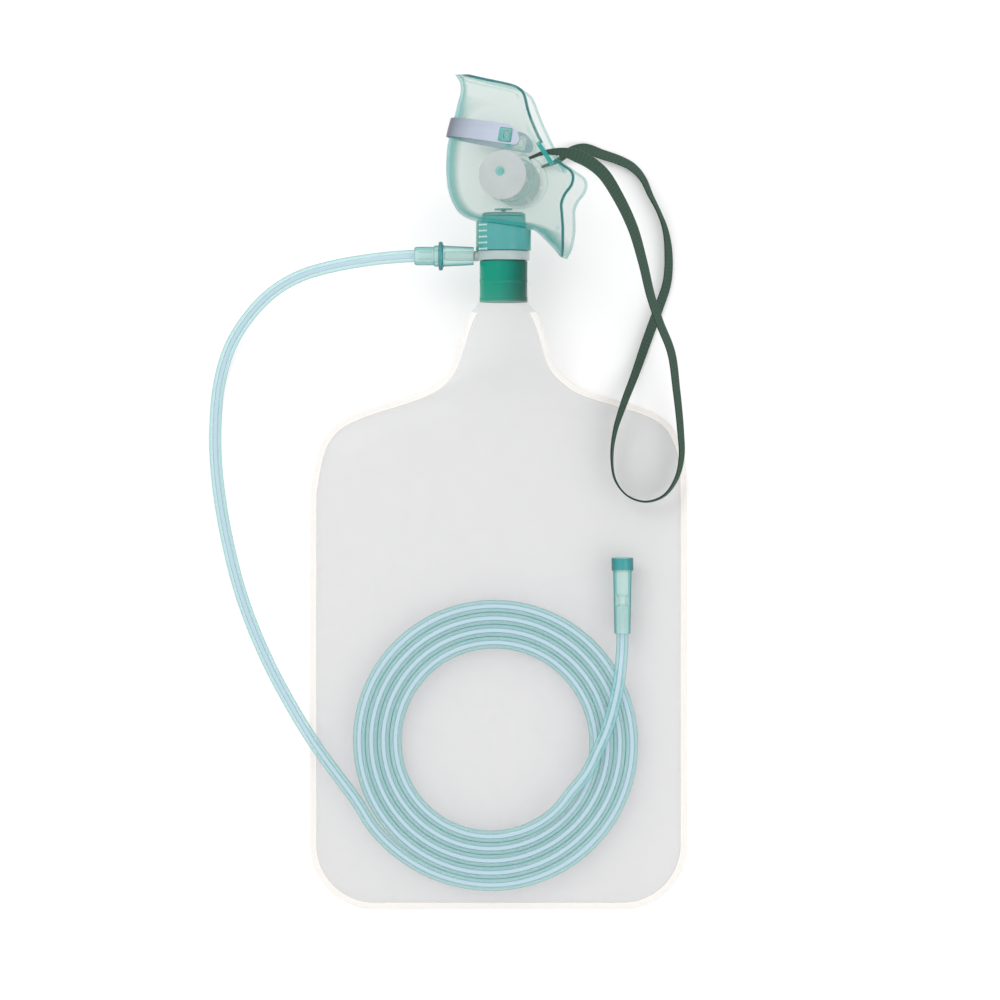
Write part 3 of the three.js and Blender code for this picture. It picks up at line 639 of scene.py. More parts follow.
RUN_ROUTE = [
    (-29.9, NIPPLE_Y, AXIS_Z), (-41.5, NIPPLE_Y, AXIS_Z), (-52.0, 117.0, 33.2),
    (-65.0, 115.6, 31.4), (-82.0, 112.8, 26.2), (-98.5, 108.2, 20.0), (-112.6, 100.2, 14.6),
    (-124.6, 88.2, 9.8), (-133.8, 73.6, 6.0), (-139.2, 56.0, 3.9), (-141.3, 36.0, 3.2),
    (-141.1, 16.0, 3.2), (-138.6, -6.0, 3.2), (-134.4, -28.0, 3.2), (-128.9, -49.0, 3.2),
    (-121.8, -68.6, 3.2), (-113.1, -87.8, 3.6), (-103.9, -104.8, 4.8), (-94.4, -120.4, 7.2),
    (-86.5, -131.8, 9.0), (-79.0, -141.8, ON_BAG), (-71.0, -152.6, ON_BAG),
]
TAIL_ROUTE = [
    (35.3, -149.4, OVER_COIL), (43.6, -139.0, OVER_COIL + 0.2), (48.9, -128.4, OVER_COIL + 0.2),
    (53.6, -117.8, OVER_COIL + 0.2), (57.3, -105.4, OVER_COIL + 0.2),
    (60.1, -91.6, OVER_COIL - 0.2), (61.4, -79.4, SUPPLY_Z + 0.9), (SUPPLY_X, -69.5, SUPPLY_Z),
    (SUPPLY_X, -56.6, SUPPLY_Z),
]
COIL_X, COIL_Y = -3.0, -123.8
COIL_RADIUS = 71.0
COIL_PITCH = 6.03
COIL_TURNS = 4
BOTTOM = 270.0              # direction in which every turn begins: towards -Y


def about_coil(point):
    """Direction in degrees, and distance, of a point from the coil's middle."""
    x, y = point[0] - COIL_X, point[1] - COIL_Y
    return math.degrees(math.atan2(y, x)) % 360, math.hypot(x, y)


def coil_points():
    """Turns of the coil, wound anticlockwise inwards, with an even lead-in and lead-out."""
    start, start_radius = about_coil(RUN_ROUTE[-1])
    end, end_radius = about_coil(TAIL_ROUTE[0])
    end += 360 * COIL_TURNS
    last_bottom = BOTTOM + 360 * COIL_TURNS
    points = []
    for angle in np.arange(start + 12, end - 4, 6.0):
        turns = (angle - BOTTOM) / 360
        radius = COIL_RADIUS - COIL_PITCH * max(turns, 0)
        height = ON_BAG
        if angle < BOTTOM:
            lead = (BOTTOM - angle) / (BOTTOM - start)
            radius += (start_radius - COIL_RADIUS) * lead ** 2
        if angle > last_bottom:
            lead = (angle - last_bottom) / (end - last_bottom)
            inner = COIL_RADIUS - COIL_PITCH * COIL_TURNS
            radius = inner + (end_radius - inner) * lead
            height += (OVER_COIL - ON_BAG) * eased(lead)
        turn = math.radians(angle)
        points.append((
            COIL_X + radius * math.cos(turn), COIL_Y + radius * math.sin(turn), height,
        ))
    return points


def steady_normals(path):
    """Two normals at each point of a path, which turn no more than the path does."""
    tangents = unit(np.gradient(path, axis=0))
    normal = unit(np.cross(tangents[0], (0.0, 1.0, 0.3)))
    normals = []
    for tangent in tangents:
        normal = unit(normal - tangent * np.dot(normal, tangent))
        normals.append(normal)
    normals = np.array(normals)
    return normals, np.cross(tangents, normals)


def swept(path, section):
    """Closed body with a closed (across, up) section along a path."""
    points = np.vstack([
        centre + np.outer(section[:, 0], n) + np.outer(section[:, 1], b)
        for centre, n, b in zip(path, *steady_normals(path))
    ])
    return points, swept_faces(len(path), len(section))


def polar(radii):
    """Closed section from its radii at even angles."""
    angles = np.linspace(0, 2 * math.pi, len(radii), endpoint=False)
    return np.column_stack([radii * np.cos(angles), radii * np.sin(angles)])


def make_tube(supply_pieces):
    """The whole oxygen tube as one clear hose, and its five-lobed lumen inside it."""
    path = smooth_path(RUN_ROUTE + coil_points() + TAIL_ROUTE, 2.0)
    outer = solid("oxygen_tube", swept(path, polar(np.full(28, TUBE_RADIUS))))
    finished(
        outer, tube_material(), "oxygen_line",
        ("oxygen_tube_run", "oxygen_tube_coil", "oxygen_tube_tail"),
    )
    shadeless(outer)
    lobes = 1.22 + 0.12 * np.cos(5 * np.linspace(0, 2 * math.pi, 30, endpoint=False))
    lumen = solid("oxygen_tube_lumen", swept(path[1:-1], polar(lobes)))
    finished(lumen, lumen_material(), "oxygen_line", crease=60)


STRAP_WIDTH = 6.5
STRAP_THICKNESS = 0.9
STRAP_RIBS = 9
STRAP_GATHER = 24           # steps of the path over which the band gathers to its ends
STRAP_TAIL = 0.22           # share of the width that is left at the ends
# Route of the strap from the far lug to the near lug: x, y, z and the turn of the band
# about its own length, in degrees.
STRAP_ROUTE = [
    (21.5, 163.4, 1.5, 0), (30.0, 166.6, 3.75, 0), (35.4, 170.9, 3.9, 8), (43.2, 172.4, 2.8, 30),
    (51.4, 169.8, 2.7, 40), (60.7, 166.6, 2.8, 44), (67.0, 163.2, 3.0, 50), (72.0, 157.6, 3.3, 60),
    (75.8, 149.4, 3.6, 68), (80.2, 140.6, 3.7, 73), (83.4, 131.6, 3.6, 66), (84.9, 120.0, 3.3, 54),
    (84.2, 106.0, 3.1, 50), (79.6, 91.8, 3.0, 46), (74.0, 76.4, 2.9, 46), (68.4, 60.4, 4.0, 54),
    (62.2, 44.4, 9.0, 62), (58.0, 31.0, 10.0, 74), (56.5, 18.0, 9.9, 82), (58.2, 7.0, 10.0, 86),
    (64.2, -0.8, 10.0, 90), (73.4, -3.8, 10.0, 92), (82.4, -0.8, 10.0, 97), (88.6, 7.6, 9.8, 105),
    (91.2, 18.4, 10.2, 113), (90.6, 32.0, 12.4, 119), (88.4, 52.0, 17.8, 123),
    (85.6, 70.2, 24.6, 127), (79.6, 85.0, 31.2, 128), (75.2, 97.4, 38.0, 130),
    (70.9, 114.2, 47.0, 134), (65.8, 130.6, 54.8, 142), (58.4, 145.6, 61.2, 150),
    (50.6, 157.0, 66.2, 162), (42.0, 163.2, 68.8, 172), (32.4, 166.4, 71.4, 180),
    (22.8, 166.4, 70.75, 180), (15.0, 163.6, 71.2, 180),
]


def strap_section(columns=54):
    """Ribbed flat section: (across, up, knit height from 0 in a groove to 1 on a rib)."""
    across = np.linspace(-1, 1, columns)
    ridge = 0.5 + 0.5 * np.cos(across * math.pi * STRAP_RIBS)
    selvedge = np.clip((1 - np.abs(across)) * 12 + 0.4, 0, 1)
    half = STRAP_THICKNESS / 2 * (0.72 + 0.28 * ridge) * selvedge
    upper = np.column_stack([across * STRAP_WIDTH / 2, half, ridge])
    lower = np.column_stack([across * STRAP_WIDTH / 2, -half, ridge])[::-1]
    return np.vstack([upper, lower])


def make_strap():
    """Knitted elastic from lug to lug, turning on edge where it rounds the loop's end."""
    stations = np.array(STRAP_ROUTE)
    path = smooth_path(stations[:, :3], 1.0)
    turn_at = smooth_values(stations[:, 3])
    station_u = lengths_along(stations[:, :3])
    section = strap_section()
    up = np.array([0.0, 0.0, 1.0])
    tangents = unit(np.gradient(path, axis=0))
    rings = []
    knit = []
    for i, (centre, forward) in enumerate(zip(path, tangents)):
        along = i / (len(path) - 1) * station_u[-1]
        u = np.interp(along, station_u, np.linspace(0, 1, len(stations)))
        turn = math.radians(float(turn_at(u)))
        left = unit(np.cross(up, forward))
        upright = np.cross(forward, left)
        face = upright * math.cos(turn) + left * math.sin(turn)
        edge = np.cross(forward, face)
        stitch = 0.5 + 0.5 * math.cos(i * math.pi)
        from_end = min(i, len(path) - 1 - i) / STRAP_GATHER
        narrow = STRAP_TAIL + (1 - STRAP_TAIL) * min(from_end, 1) ** 1.5
        rings.append(centre + np.outer(section[:, 0] * narrow, edge) + np.outer(section[:, 1], face))
        knit.append(section[:, 2] * (0.7 + 0.3 * stitch))
    faces = swept_faces(len(path), len(section))
    strap = mesh_object("head_strap_elastic", np.vstack(rings), faces)
    store(strap, "knit", np.concatenate(knit))
    finished(strap, elastic_material(), "mask", ("head_strap",), crease=75)


# ---------------- the mask

MASK_WALL = 1.4
MASK_FLANGE = 1.8
PORT_Y = 132.7
PORT_TILT = math.radians(8.3)
# Sections from nose to chin: front x, front y, rim x, rim y, half width, squareness.
MASK_SECTIONS = [
    (-24.0, 207.2, -21.6, 206.8, 5.0, 2.2), (-21.7, 203.4, -9.5, 203.6, 11.0, 2.2),
    (-21.3, 199.3, 4.2, 200.4, 15.0, 2.2), (-21.7, 196.6, 9.0, 198.4, 16.5, 2.2),
    (-22.5, 193.9, 11.8, 195.2, 19.5, 2.2), (-24.1, 186.7, 14.4, 187.2, 27.0, 2.3),
    (-25.9, 179.8, 17.4, 179.7, 30.5, 2.4), (-27.4, 172.4, 21.0, 172.2, 32.2, 2.5),
    (-28.0, 166.0, 25.3, 165.2, 32.6, 2.6), (-28.2, 160.6, 31.3, 160.4, 32.8, 2.6),
    (-27.9, 155.4, 36.6, 156.2, 32.8, 2.6), (-27.2, 150.2, 36.4, 151.2, 32.5, 2.6),
    (-25.1, 143.9, 33.0, 146.4, 32.0, 2.7), (-21.0, 138.0, 31.2, 141.8, 31.4, 2.8),
    (-13.8, 134.7, 31.3, 136.4, 30.0, 3.0), (0.0, 132.7, 31.5, 130.8, 28.0, 3.0),
    (13.9, 130.6, 31.2, 126.2, 24.5, 2.8), (22.0, 124.2, 30.6, 121.2, 18.0, 2.6),
    (28.0, 117.4, 29.2, 116.6, 8.0, 2.2),
]
section_at = [smooth_values(column) for column in zip(*MASK_SECTIONS)]


def mask_point(s, t):
    """Outer surface: s from nose (0) to chin (1), t from far rim (-1) to near rim (1)."""
    s = np.clip(s, 0, 1)
    angle = np.minimum(np.abs(t), 1) * math.pi / 2
    front_x, front_y, rim_x, rim_y, half, square = (value(s) for value in section_at)
    power = 2 / square
    back = 1 - np.maximum(np.cos(angle), 0) ** power
    x = front_x + (rim_x - front_x) * back
    y = front_y + (rim_y - front_y) * back
    return np.stack([x, y, np.sign(t) * half * np.sin(angle) ** power], axis=-1)


def mask_normal(s, t):
    """Outward normal of the mask's surface."""
    step = 0.004
    inside = np.clip(t, step - 1, 1 - step)
    along_s = mask_point(s + step, inside) - mask_point(s - step, inside)
    along_t = mask_point(s, inside + step) - mask_point(s, inside - step)
    return unit(np.cross(along_s, along_t))


def cheek_place(x, y):
    """(s, t) of a point on the near cheek."""
    s, t = np.meshgrid(np.linspace(0, 1, 401), np.linspace(0.2, 1, 401), indexing="ij")
    points = mask_point(s, t)
    best = np.argmin((points[..., 0] - x) ** 2 + (points[..., 1] - y) ** 2)
    return s.flat[best], t.flat[best]


def basis(along, across, normal, origin):
    matrix = np.eye(4)
    matrix[:3, 0], matrix[:3, 1], matrix[:3, 2], matrix[:3, 3] = along, across, normal, origin
    return matrix


def cheek_frame(x, y, degrees):
    """Frame on the near cheek: x along the direction, z outwards."""
    s, t = cheek_place(x, y)
    normal = mask_normal(s, t)
    direction = math.radians(degrees)
    along = np.array([math.cos(direction), math.sin(direction), 0.0])
    along = unit(along - normal * np.dot(along, normal))
    return basis(along, np.cross(normal, along), normal, mask_point(s, t))


def mirrored(shape):
    points, faces = shape
    return points * (1, 1, -1), [face[::-1] for face in faces]


def both_cheeks(shape):
    return joined(shape, mirrored(shape))


def rim_outward(s):
    """Direction in which the open side of the cup faces at the rim, as seen from the side."""
    rim = mask_point(s, np.ones(len(s)))
    along = unit(np.gradient(rim[:, :2], axis=0))
    return np.stack([-along[:, 1], along[:, 0]], axis=1)


def mask_cup():
    """Cup of even wall whose rim turns outwards and ends in a rounded lip."""
    core = np.linspace(-1, 1, 97)
    turn = np.array([0.25, 0.6, 0.85, 1.0])
    t = np.concatenate([np.full(len(turn), -1.0), core, np.full(len(turn), 1.0)])
    out = np.concatenate([-turn[::-1], np.zeros(len(core)), turn]) * MASK_FLANGE
    lip = np.concatenate([[1], np.zeros(len(t) - 2), [1]])
    s = np.linspace(0, 1, 121)
    grid_s, grid_t = np.meshgrid(s, t, indexing="ij")
    outer = mask_point(grid_s, grid_t)
    outward = rim_outward(s)[:, None, :] * np.ones((1, len(t), 1))
    at_rim = outer + np.dstack([outward, -np.sign(grid_t)]) * MASK_WALL
    inner = outer - mask_normal(grid_s, grid_t) * MASK_WALL
    near_rim = np.clip((np.abs(grid_t) - 0.93) / 0.07, 0, 1)[..., None] ** 2
    inner = inner + (at_rim - inner) * near_rim
    inner[..., 1] = np.minimum(inner[..., 1], outer[:1, :, 1])
    flange = np.abs(out)[None, :] > 0
    inner[..., 2] = np.where(flange, outer[..., 2], inner[..., 2])
    outer[..., 2] += out
    inner[..., 2] += out
    middle = (outer + inner) / 2
    squeeze = (0.45 * lip)[None, :, None]
    outer += (middle - outer) * squeeze
    inner += (middle - inner) * squeeze
    points = np.vstack([outer.reshape(-1, 3), inner.reshape(-1, 3)])
    return points, shell_faces(len(s), len(t))


VALVE_X, VALVE_Y, VALVE_Z = 5.3, 155.9, 32.0
VALVE_TILT = math.radians(-9.9)
PAD_RADIUS, PAD_DEPTH = 13.3, 3.4
PEG_X, PEG_Y = -2.95, 1.6
FLAP_X, FLAP_BOTTOM, FLAP_TOP = -2.3, 0.3, 0.9
HEAD_BOTTOM = 2.2
STUD_X, STUD_Y, STUD_LENGTH, STUD_WIDTH, STUD_HEIGHT = 4.5, 175.2, 6.2, 6.6, 2.6
STUD_HEEL, STUD_RAIL = 2.5, 1.2
GAS_HOLES, GAS_HOLE_CIRCLE, GAS_HOLE_RADIUS, FIRST_HOLE = 7, 9.8, 1.4, -17
LUG_X, LUG_Y, LUG_TURN = 24.2, 165.9, -57
LUG_INSIDE, LUG_LEG, LUG_BAR, LUG_CLEAR, LUG_HEIGHT = 10.4, 1.1, 2.2, 2.0, 3.6
PORT_RADIUS, PORT_HOLE = 14.6, 11.3


def seat_place():
    """From the near valve seat's own frame, z outwards, to the mask's."""
    return placed(VALVE_X, VALVE_Y, VALVE_Z, VALVE_TILT, "Y")


def on_valve(shape, dx=0.0, dy=0.0):
    """Puts a shape with its axis along Y on the near valve seat, axis outwards."""
    return moved(shape, seat_place() @ placed(dx, dy, 0, math.pi / 2, "X"))


def strap_lug():
    """Two rounded legs and a bar over them, and the slot to clear below the bar."""
    place = cheek_frame(LUG_X, LUG_Y, LUG_TURN)
    leg = block(LUG_LEG, LUG_BAR, LUG_HEIGHT + MASK_WALL)
    side = (LUG_INSIDE + LUG_LEG) / 2
    parts = [shifted(leg, k * side, 0, (LUG_HEIGHT - MASK_WALL) / 2) for k in (-1, 1)]
    bar = block(LUG_INSIDE + 2 * LUG_LEG, LUG_BAR, LUG_HEIGHT - LUG_CLEAR, 0.35)
    parts.append(shifted(bar, 0, 0, (LUG_HEIGHT + LUG_CLEAR) / 2))
    slot = shifted(block(LUG_INSIDE, 9, 1.9, 0.1), 0, 0, 1.05)
    return [moved(part, place) for part in parts], moved(slot, place)


def stud_frame():
    """Where the nose clip's stud stands on the near cheek, turned along the clip."""
    return cheek_frame(STUD_X, STUD_Y, -math.degrees(math.atan(CLIP_SLOPE)))


def clip_stud():
    """Moulded stud that comes up through the nose clip, and the window in its top."""
    stud = block(STUD_LENGTH, STUD_WIDTH, STUD_HEIGHT + MASK_WALL, 0.3)
    stud = shifted(stud, 0, 0, (STUD_HEIGHT - MASK_WALL) / 2)
    window = block(
        STUD_LENGTH - STUD_HEEL - STUD_RAIL, STUD_WIDTH - 2 * STUD_RAIL, STUD_HEIGHT, 0.2)
    window = shifted(window, (STUD_HEEL - STUD_RAIL) / 2, 0, STUD_HEIGHT / 2 + 0.3)
    return moved(stud, stud_frame()), moved(window, stud_frame())


def port_place(lift=0.0):
    """The slanted face of the mask's port, lifted by this much along Y."""
    return placed(0, PORT_Y + lift, 0, -PORT_TILT, "Z")


def mask_place():
    """From the mask's own frame, in millimetres, to the table's."""
    return placed(AXIS_X, 0, AXIS_Z, MASK_YAW, "Y")


FAR_LIP, FAR_LUG = 0.5, 0.3         # how strongly the far side's edges show
LIP_REACH, LIP_FADE = 0.55, 0.8     # the deep line on the lip, and how it fades
ROOT_REACH, ROOT_WIDTH = 2.5, 0.45  # the faint line where the rim begins to turn out
LIP_SHARE, LUG_SHARE, PORT_SHARE, PEG_SHARE = 1.0, 0.82, 0.8, 0.42
SEAT_EDGE_SHARE, ROOT_SHARE, SEAT_SHARE = 0.34, 0.30, 0.10


def distance_tree(points):
    """Tree that finds the nearest of the points."""
    tree = kdtree.KDTree(len(points))
    for k, point in enumerate(points):
        tree.insert(point, k)
    tree.balance()
    return tree


def rim_and_lip_trees():
    """Trees of the line where the wall ends, and of the lip's outer edge."""
    s, across = np.linspace(0, 1, 500), np.linspace(-1, 1, 80)
    sides = [mask_point(s, np.full(len(s), t)) for t in (-1.0, 1.0)]
    ends = [mask_point(np.full(len(across), e), across) for e in (0.0, 1.0)]
    outward = rim_outward(s) * MASK_WALL / 2
    lips = [
        side + np.column_stack([outward, np.full(len(s), t * MASK_FLANGE)])
        for side, t in zip(sides, (-1.0, 1.0))
    ]
    return distance_tree(np.vstack(sides + ends)), distance_tree(np.vstack(lips))


def mark_mask_edges(piece):
    """Marks how deep the plastic is that one looks through: 1 on the lip, less elsewhere."""
    rim_tree, lip_tree = rim_and_lip_trees()
    lug, stud = mask_point(*cheek_place(LUG_X, LUG_Y)), mask_point(*cheek_place(STUD_X, STUD_Y))
    from_seat = seat_place().inverted()

    def weight_at(point):
        near = point.z > 0
        lip_line = 1 - min(max((lip_tree.find(point)[2] - LIP_REACH) / LIP_FADE, 0), 1)
        from_root = (rim_tree.find(point)[2] - ROOT_REACH) / ROOT_WIDTH
        root_line = ROOT_SHARE * math.exp(-from_root ** 2)
        weight = max(LIP_SHARE * lip_line, root_line) * (1.0 if near else FAR_LIP)
        spot = np.array([point.x, point.y, abs(point.z)])
        for place, reach, lift in ((lug, 8.0, 1.6), (stud, 6.0, 0.5)):
            if np.linalg.norm(spot - place) < reach and spot[2] > place[2] + lift:
                weight = max(weight, LUG_SHARE if near else FAR_LUG)
        on_seat = from_seat @ Vector(spot)
        from_centre = math.hypot(on_seat.x, on_seat.y)
        if math.hypot(on_seat.x - PEG_X, on_seat.y - PEG_Y) < 2.7 and on_seat.z > 1.0:
            weight = max(weight, PEG_SHARE)
        if from_centre < PAD_RADIUS + 0.1 and -0.6 < on_seat.z < 0.3:
            edge = abs(from_centre - PAD_RADIUS) < 0.3
            weight = max(weight, SEAT_EDGE_SHARE if edge else SEAT_SHARE)
        from_axis = math.hypot(point.x, point.z)
        port_level = point.y - PORT_Y + point.x * math.tan(PORT_TILT)
        if 10 < from_axis < PORT_RADIUS + 0.2 and -0.4 < port_level < 2.2:
            weight = max(weight, PORT_SHARE)
        return weight

    mark(piece, "edge", weight_at)


def make_mask(look):
    """Clear cup with valve seats, clip studs, strap lugs and the port for the swivel."""
    shell = solid("mask_cup", mask_cup())

    def on_both_cheeks(operation, *shapes):
        for shape in shapes:
            combine(shell, both_cheeks(shape), operation)

    combine(shell, moved(pipe(0, PORT_RADIUS, -7, 0), port_place()), "DIFFERENCE")
    combine(shell, moved(disc(PORT_RADIUS, 0, 1.8, 0.4, 96), port_place()), "UNION")
    combine(shell, pipe(0, PORT_HOLE, 120, 145), "DIFFERENCE")
    on_both_cheeks("UNION", on_valve(disc(PAD_RADIUS, -PAD_DEPTH, 0, 0.35, 96)))
    holes = []
    for k in range(GAS_HOLES):
        angle = math.radians(FIRST_HOLE + 360 * k / GAS_HOLES)
        dx, dy = GAS_HOLE_CIRCLE * math.cos(angle), GAS_HOLE_CIRCLE * math.sin(angle)
        holes.append(on_valve(pipe(0, GAS_HOLE_RADIUS, -8, 1, segments=24), dx, dy))
    on_both_cheeks("DIFFERENCE", joined(*holes))
    stem = disc(1.2, -0.4, HEAD_BOTTOM + 0.3, 0.1)
    head = disc(2.4, HEAD_BOTTOM, HEAD_BOTTOM + 0.8, 0.3)
    on_both_cheeks("UNION", *(on_valve(shape, PEG_X, PEG_Y) for shape in (stem, head)))
    lug, slot = strap_lug()
    on_both_cheeks("UNION", *lug)
    on_both_cheeks("DIFFERENCE", slot)
    stud, window = clip_stud()
    on_both_cheeks("UNION", stud)
    on_both_cheeks("DIFFERENCE", window)
    mark_mask_edges(shell)
    finished(shell, look, "mask", ("mask_shell",), mask_place(), 38)
    shadeless(shell)


def make_exhalation_flaps(look):
    """Silicone discs that cover the gas holes, held by their pegs."""
    flap = on_valve(disc(12.0, FLAP_BOTTOM, FLAP_TOP, 0.15, 96), FLAP_X, 0)
    hole = on_valve(pipe(0, 1.6, FLAP_BOTTOM - 1, FLAP_TOP + 1, segments=32), PEG_X, PEG_Y)
    for side, disc_here, hole_here in (
        ("near", flap, hole), ("far", mirrored(flap), mirrored(hole)),
    ):
        piece = combine(solid(f"silicone_flap_{side}", disc_here), hole_here, "DIFFERENCE")
        node = f"exhalation_flap_{side}"
        finished(piece, look, node, (node,), mask_place())


CLIP_FRONT_X, CLIP_FRONT_Y, CLIP_SLOPE, CLIP_END_X, CLIP_WIDTH = -26.0, 180.7, 0.166, 11.2, 9.4
CLIP_BOTTOM, CLIP_TOP = 0.6, 1.5    # heights of the strip's two faces over the mask


def make_nose_clip(look):
    """Soft aluminium strip bent over the bridge, with round ends."""
    steps, columns, half = 160, 8, CLIP_WIDTH / 2
    table = np.linspace(0, 1, 1500)
    _, end_t = cheek_place(CLIP_END_X, CLIP_FRONT_Y - CLIP_SLOPE * (CLIP_END_X - CLIP_FRONT_X))

    def row_at(level, t):
        points = mask_point(table, np.full(table.shape, t))
        height = points[:, 1] + CLIP_SLOPE * (points[:, 0] - CLIP_FRONT_X)
        return table[np.argmax(height <= level)]

    sheets = {CLIP_TOP: [], CLIP_BOTTOM: []}
    for i in range(steps + 1):
        t = end_t * math.sin((-1 + 2 * i / steps) * math.pi / 2)
        to_end = max(CLIP_END_X - mask_point(row_at(CLIP_FRONT_Y, t), t)[0], 0.02)
        reach = half if to_end > half else math.sqrt(to_end * (2 * half - to_end))
        for j in range(columns + 1):
            s = row_at(CLIP_FRONT_Y + reach * (1 - 2 * j / columns), t)
            point, normal = mask_point(s, t), mask_normal(s, t)
            for lift, rows in sheets.items():
                rows.append(point + normal * lift)
    points = np.vstack([*sheets[CLIP_TOP], *sheets[CLIP_BOTTOM]])
    piece = solid("nose_clip_strip", (points, shell_faces(steps + 1, columns + 1)))
    hole = moved(block(STUD_LENGTH + 0.6, STUD_WIDTH + 0.6, 5.2, 0.4), stud_frame())
    combine(piece, both_cheeks(hole), "DIFFERENCE")
    finished(piece, look, "mask", ("nose_clip",), mask_place(), 50)


# ---------------- connectors on the common axis

SPIGOT_TOP, SPIGOT_RADIUS, PORT_BORE = 136.9, 10.95, 9.2
SWIVEL_RADIUS, SWIVEL_BOTTOM, SOCKET_RADIUS, SOCKET_TOP = 13.6, 120.2, 11.3, 129.2
GRIP_TOP, GRIP_PITCH, GRIP_COUNT, GRIP_TURN = 132.6, 2.95, 5, 43


def axis_place():
    return Matrix.Translation((AXIS_X, 0, AXIS_Z))


def make_swivel(look):
    """Swivel connector with a slanted collar, a spigot, and grip bars."""
    outline = [
        (PORT_BORE, SOCKET_TOP), (SOCKET_RADIUS, SOCKET_TOP), (SOCKET_RADIUS, SWIVEL_BOTTOM),
        (SWIVEL_RADIUS, SWIVEL_BOTTOM), (SWIVEL_RADIUS, SPIGOT_TOP), (PORT_BORE, SPIGOT_TOP),
    ]
    piece = solid("swivel_body", turned(rounded(outline, 0.3), 128))
    slanted = solid("slanted", moved(pipe(0, 24, 0, 14), port_place(-0.3)))
    combine(slanted, pipe(SPIGOT_RADIUS, 22, 120, 145, segments=128), "INTERSECT")
    points = np.array([v.co[:] for v in slanted.data.vertices])
    faces = [tuple(p.vertices) for p in slanted.data.polygons]
    bpy.data.objects.remove(slanted)
    combine(piece, (points, faces), "DIFFERENCE")
    for side, first in ((0, 0), (180, 1)):
        turn = Matrix.Rotation(math.radians(side - GRIP_TURN), 4, "Y")
        for k in range(first, GRIP_COUNT):
            level = GRIP_TOP - k * GRIP_PITCH
            bar = shifted(block(6.4, 1.6, 1.4, 0.4), 0, level, SWIVEL_RADIUS - 0.5)
            combine(piece, moved(bar, turn), "UNION")
    # marks the grip bars, which take a painted highlight in the teal material
    mark(piece, "light", lambda p: math.hypot(p.x, p.z) > SWIVEL_RADIUS + 0.03)
    finished(piece, look, "mask", ("swivel_connector",), mask_place())


def make_manifold(look):
    """Milky ring with the spigot to the mask, the tail in the sleeve, and the nipple."""
    outline = [
        (8.7, 98.0), (10.2, 98.0), (10.2, 115.4), (12.85, 115.4), (12.85, 119.9), (11.0, 119.9),
        (11.0, 128.8), (PORT_BORE, 128.8), (PORT_BORE, 119.9), (8.7, 118.9),
    ]
    piece = solid("manifold_ring", turned(rounded(outline, 0.35), 128))
    to_side = placed(0, NIPPLE_Y, 0, math.pi / 2, "Z")
    barb = [(0, 12.3), (2.6, 12.3), (2.6, 14.4), (1.9, 14.6), (1.9, 25.6), (2.2, 25.8),
            (1.75, 28.0), (0, 28.0)]
    combine(piece, moved(turned(barb, 64), to_side), "UNION")
    combine(piece, moved(pipe(0, 1.3, 7.6, 29, segments=48), to_side), "DIFFERENCE")
    finished(piece, look, "bag_assembly", ("gas_manifold",), axis_place())


def make_collar(look):
    """Glossy sleeve that holds the bag's neck on the manifold."""
    low, high = millimetres("bag_collar")
    radius = (high[0] - low[0]) / 2
    outline = [
        (10.5, low[1]), (radius, low[1]), (radius, low[1] + 2.4), (radius - 0.18, low[1] + 2.7),
        (radius - 0.18, high[1] - 10.4), (radius, high[1] - 10.0), (radius, high[1] - 9.2),
        (radius - 0.18, high[1] - 8.8), (radius - 0.1, high[1]), (10.5, high[1]),
    ]
    piece = solid("collar_sleeve", turned(rounded(outline, 0.3), 128))
    # painted shade: 'depth' runs from 0 on the side towards the key light to 1 on the side away from
    # it
    mark(piece, "depth", lambda p: 0.5 + 0.5 * p.x / radius)
    finished(piece, look, "bag_assembly", ("bag_collar",), axis_place())


def make_neck_band(look):
    """Clear hoop that holds the film on the sleeve."""
    low, high = millimetres("neck_band")
    piece = solid("neck_hoop", pipe(13.1, (high[0] - low[0]) / 2, low[1], high[1], 0.25, 128))
    mark(piece, "edge_distance", lambda p: SLEEVE_MARK * MM)
    finished(piece, look, "bag_assembly", ("neck_band",), axis_place())


def mark_depth(piece, bore, flange, from_axis):
    """Marks the hollow inside the bore's radius, and what stands out beyond the flange's."""
    mark(piece, "bore", lambda p: from_axis(p) <= bore)
    mark(piece, "flange", lambda p: from_axis(p) >= flange)


def make_inlet(look):
    """Push-on connector: a barrel for the tube, a flange, and a tapered cup on the nipple."""
    low, high = millimetres("inlet_connector")
    length = high[0] - low[0]
    outline = [
        (2.5, 0), (4.5, 0), (5.2, 14.7), (5.6, 14.7), (5.6, 15.2), (6.7, 15.2), (7.2, 15.8),
        (7.2, 16.8), (6.7, 17.4), (5.3, 17.4), (5.2, 19.4), (4.54, 19.8), (4.54, length - 0.8),
        (4.04, length), (3.3, length), (3.3, 17.4), (1.5, 17.4), (1.5, 14.6), (2.5, 14.0),
    ]
    turn = placed(high[0], NIPPLE_Y, AXIS_Z, math.pi / 2, "Z")
    piece = solid("tube_cuff", moved(turned(rounded(outline, 0.3), 96), turn))
    for k in range(8):
        rib = shifted(block(0.5, 6.5, 0.5, 0.15), 0, 24, 4.6)
        rib = moved(rib, Matrix.Rotation(math.radians(45 * k + 22.5), 4, "Y"))
        combine(piece, moved(rib, turn), "UNION")
    mark_depth(piece, 3.5, 5.65, lambda p: math.hypot(p.y - NIPPLE_Y, p.z - AXIS_Z))
    finished(piece, look, "oxygen_line", ("inlet_connector",))


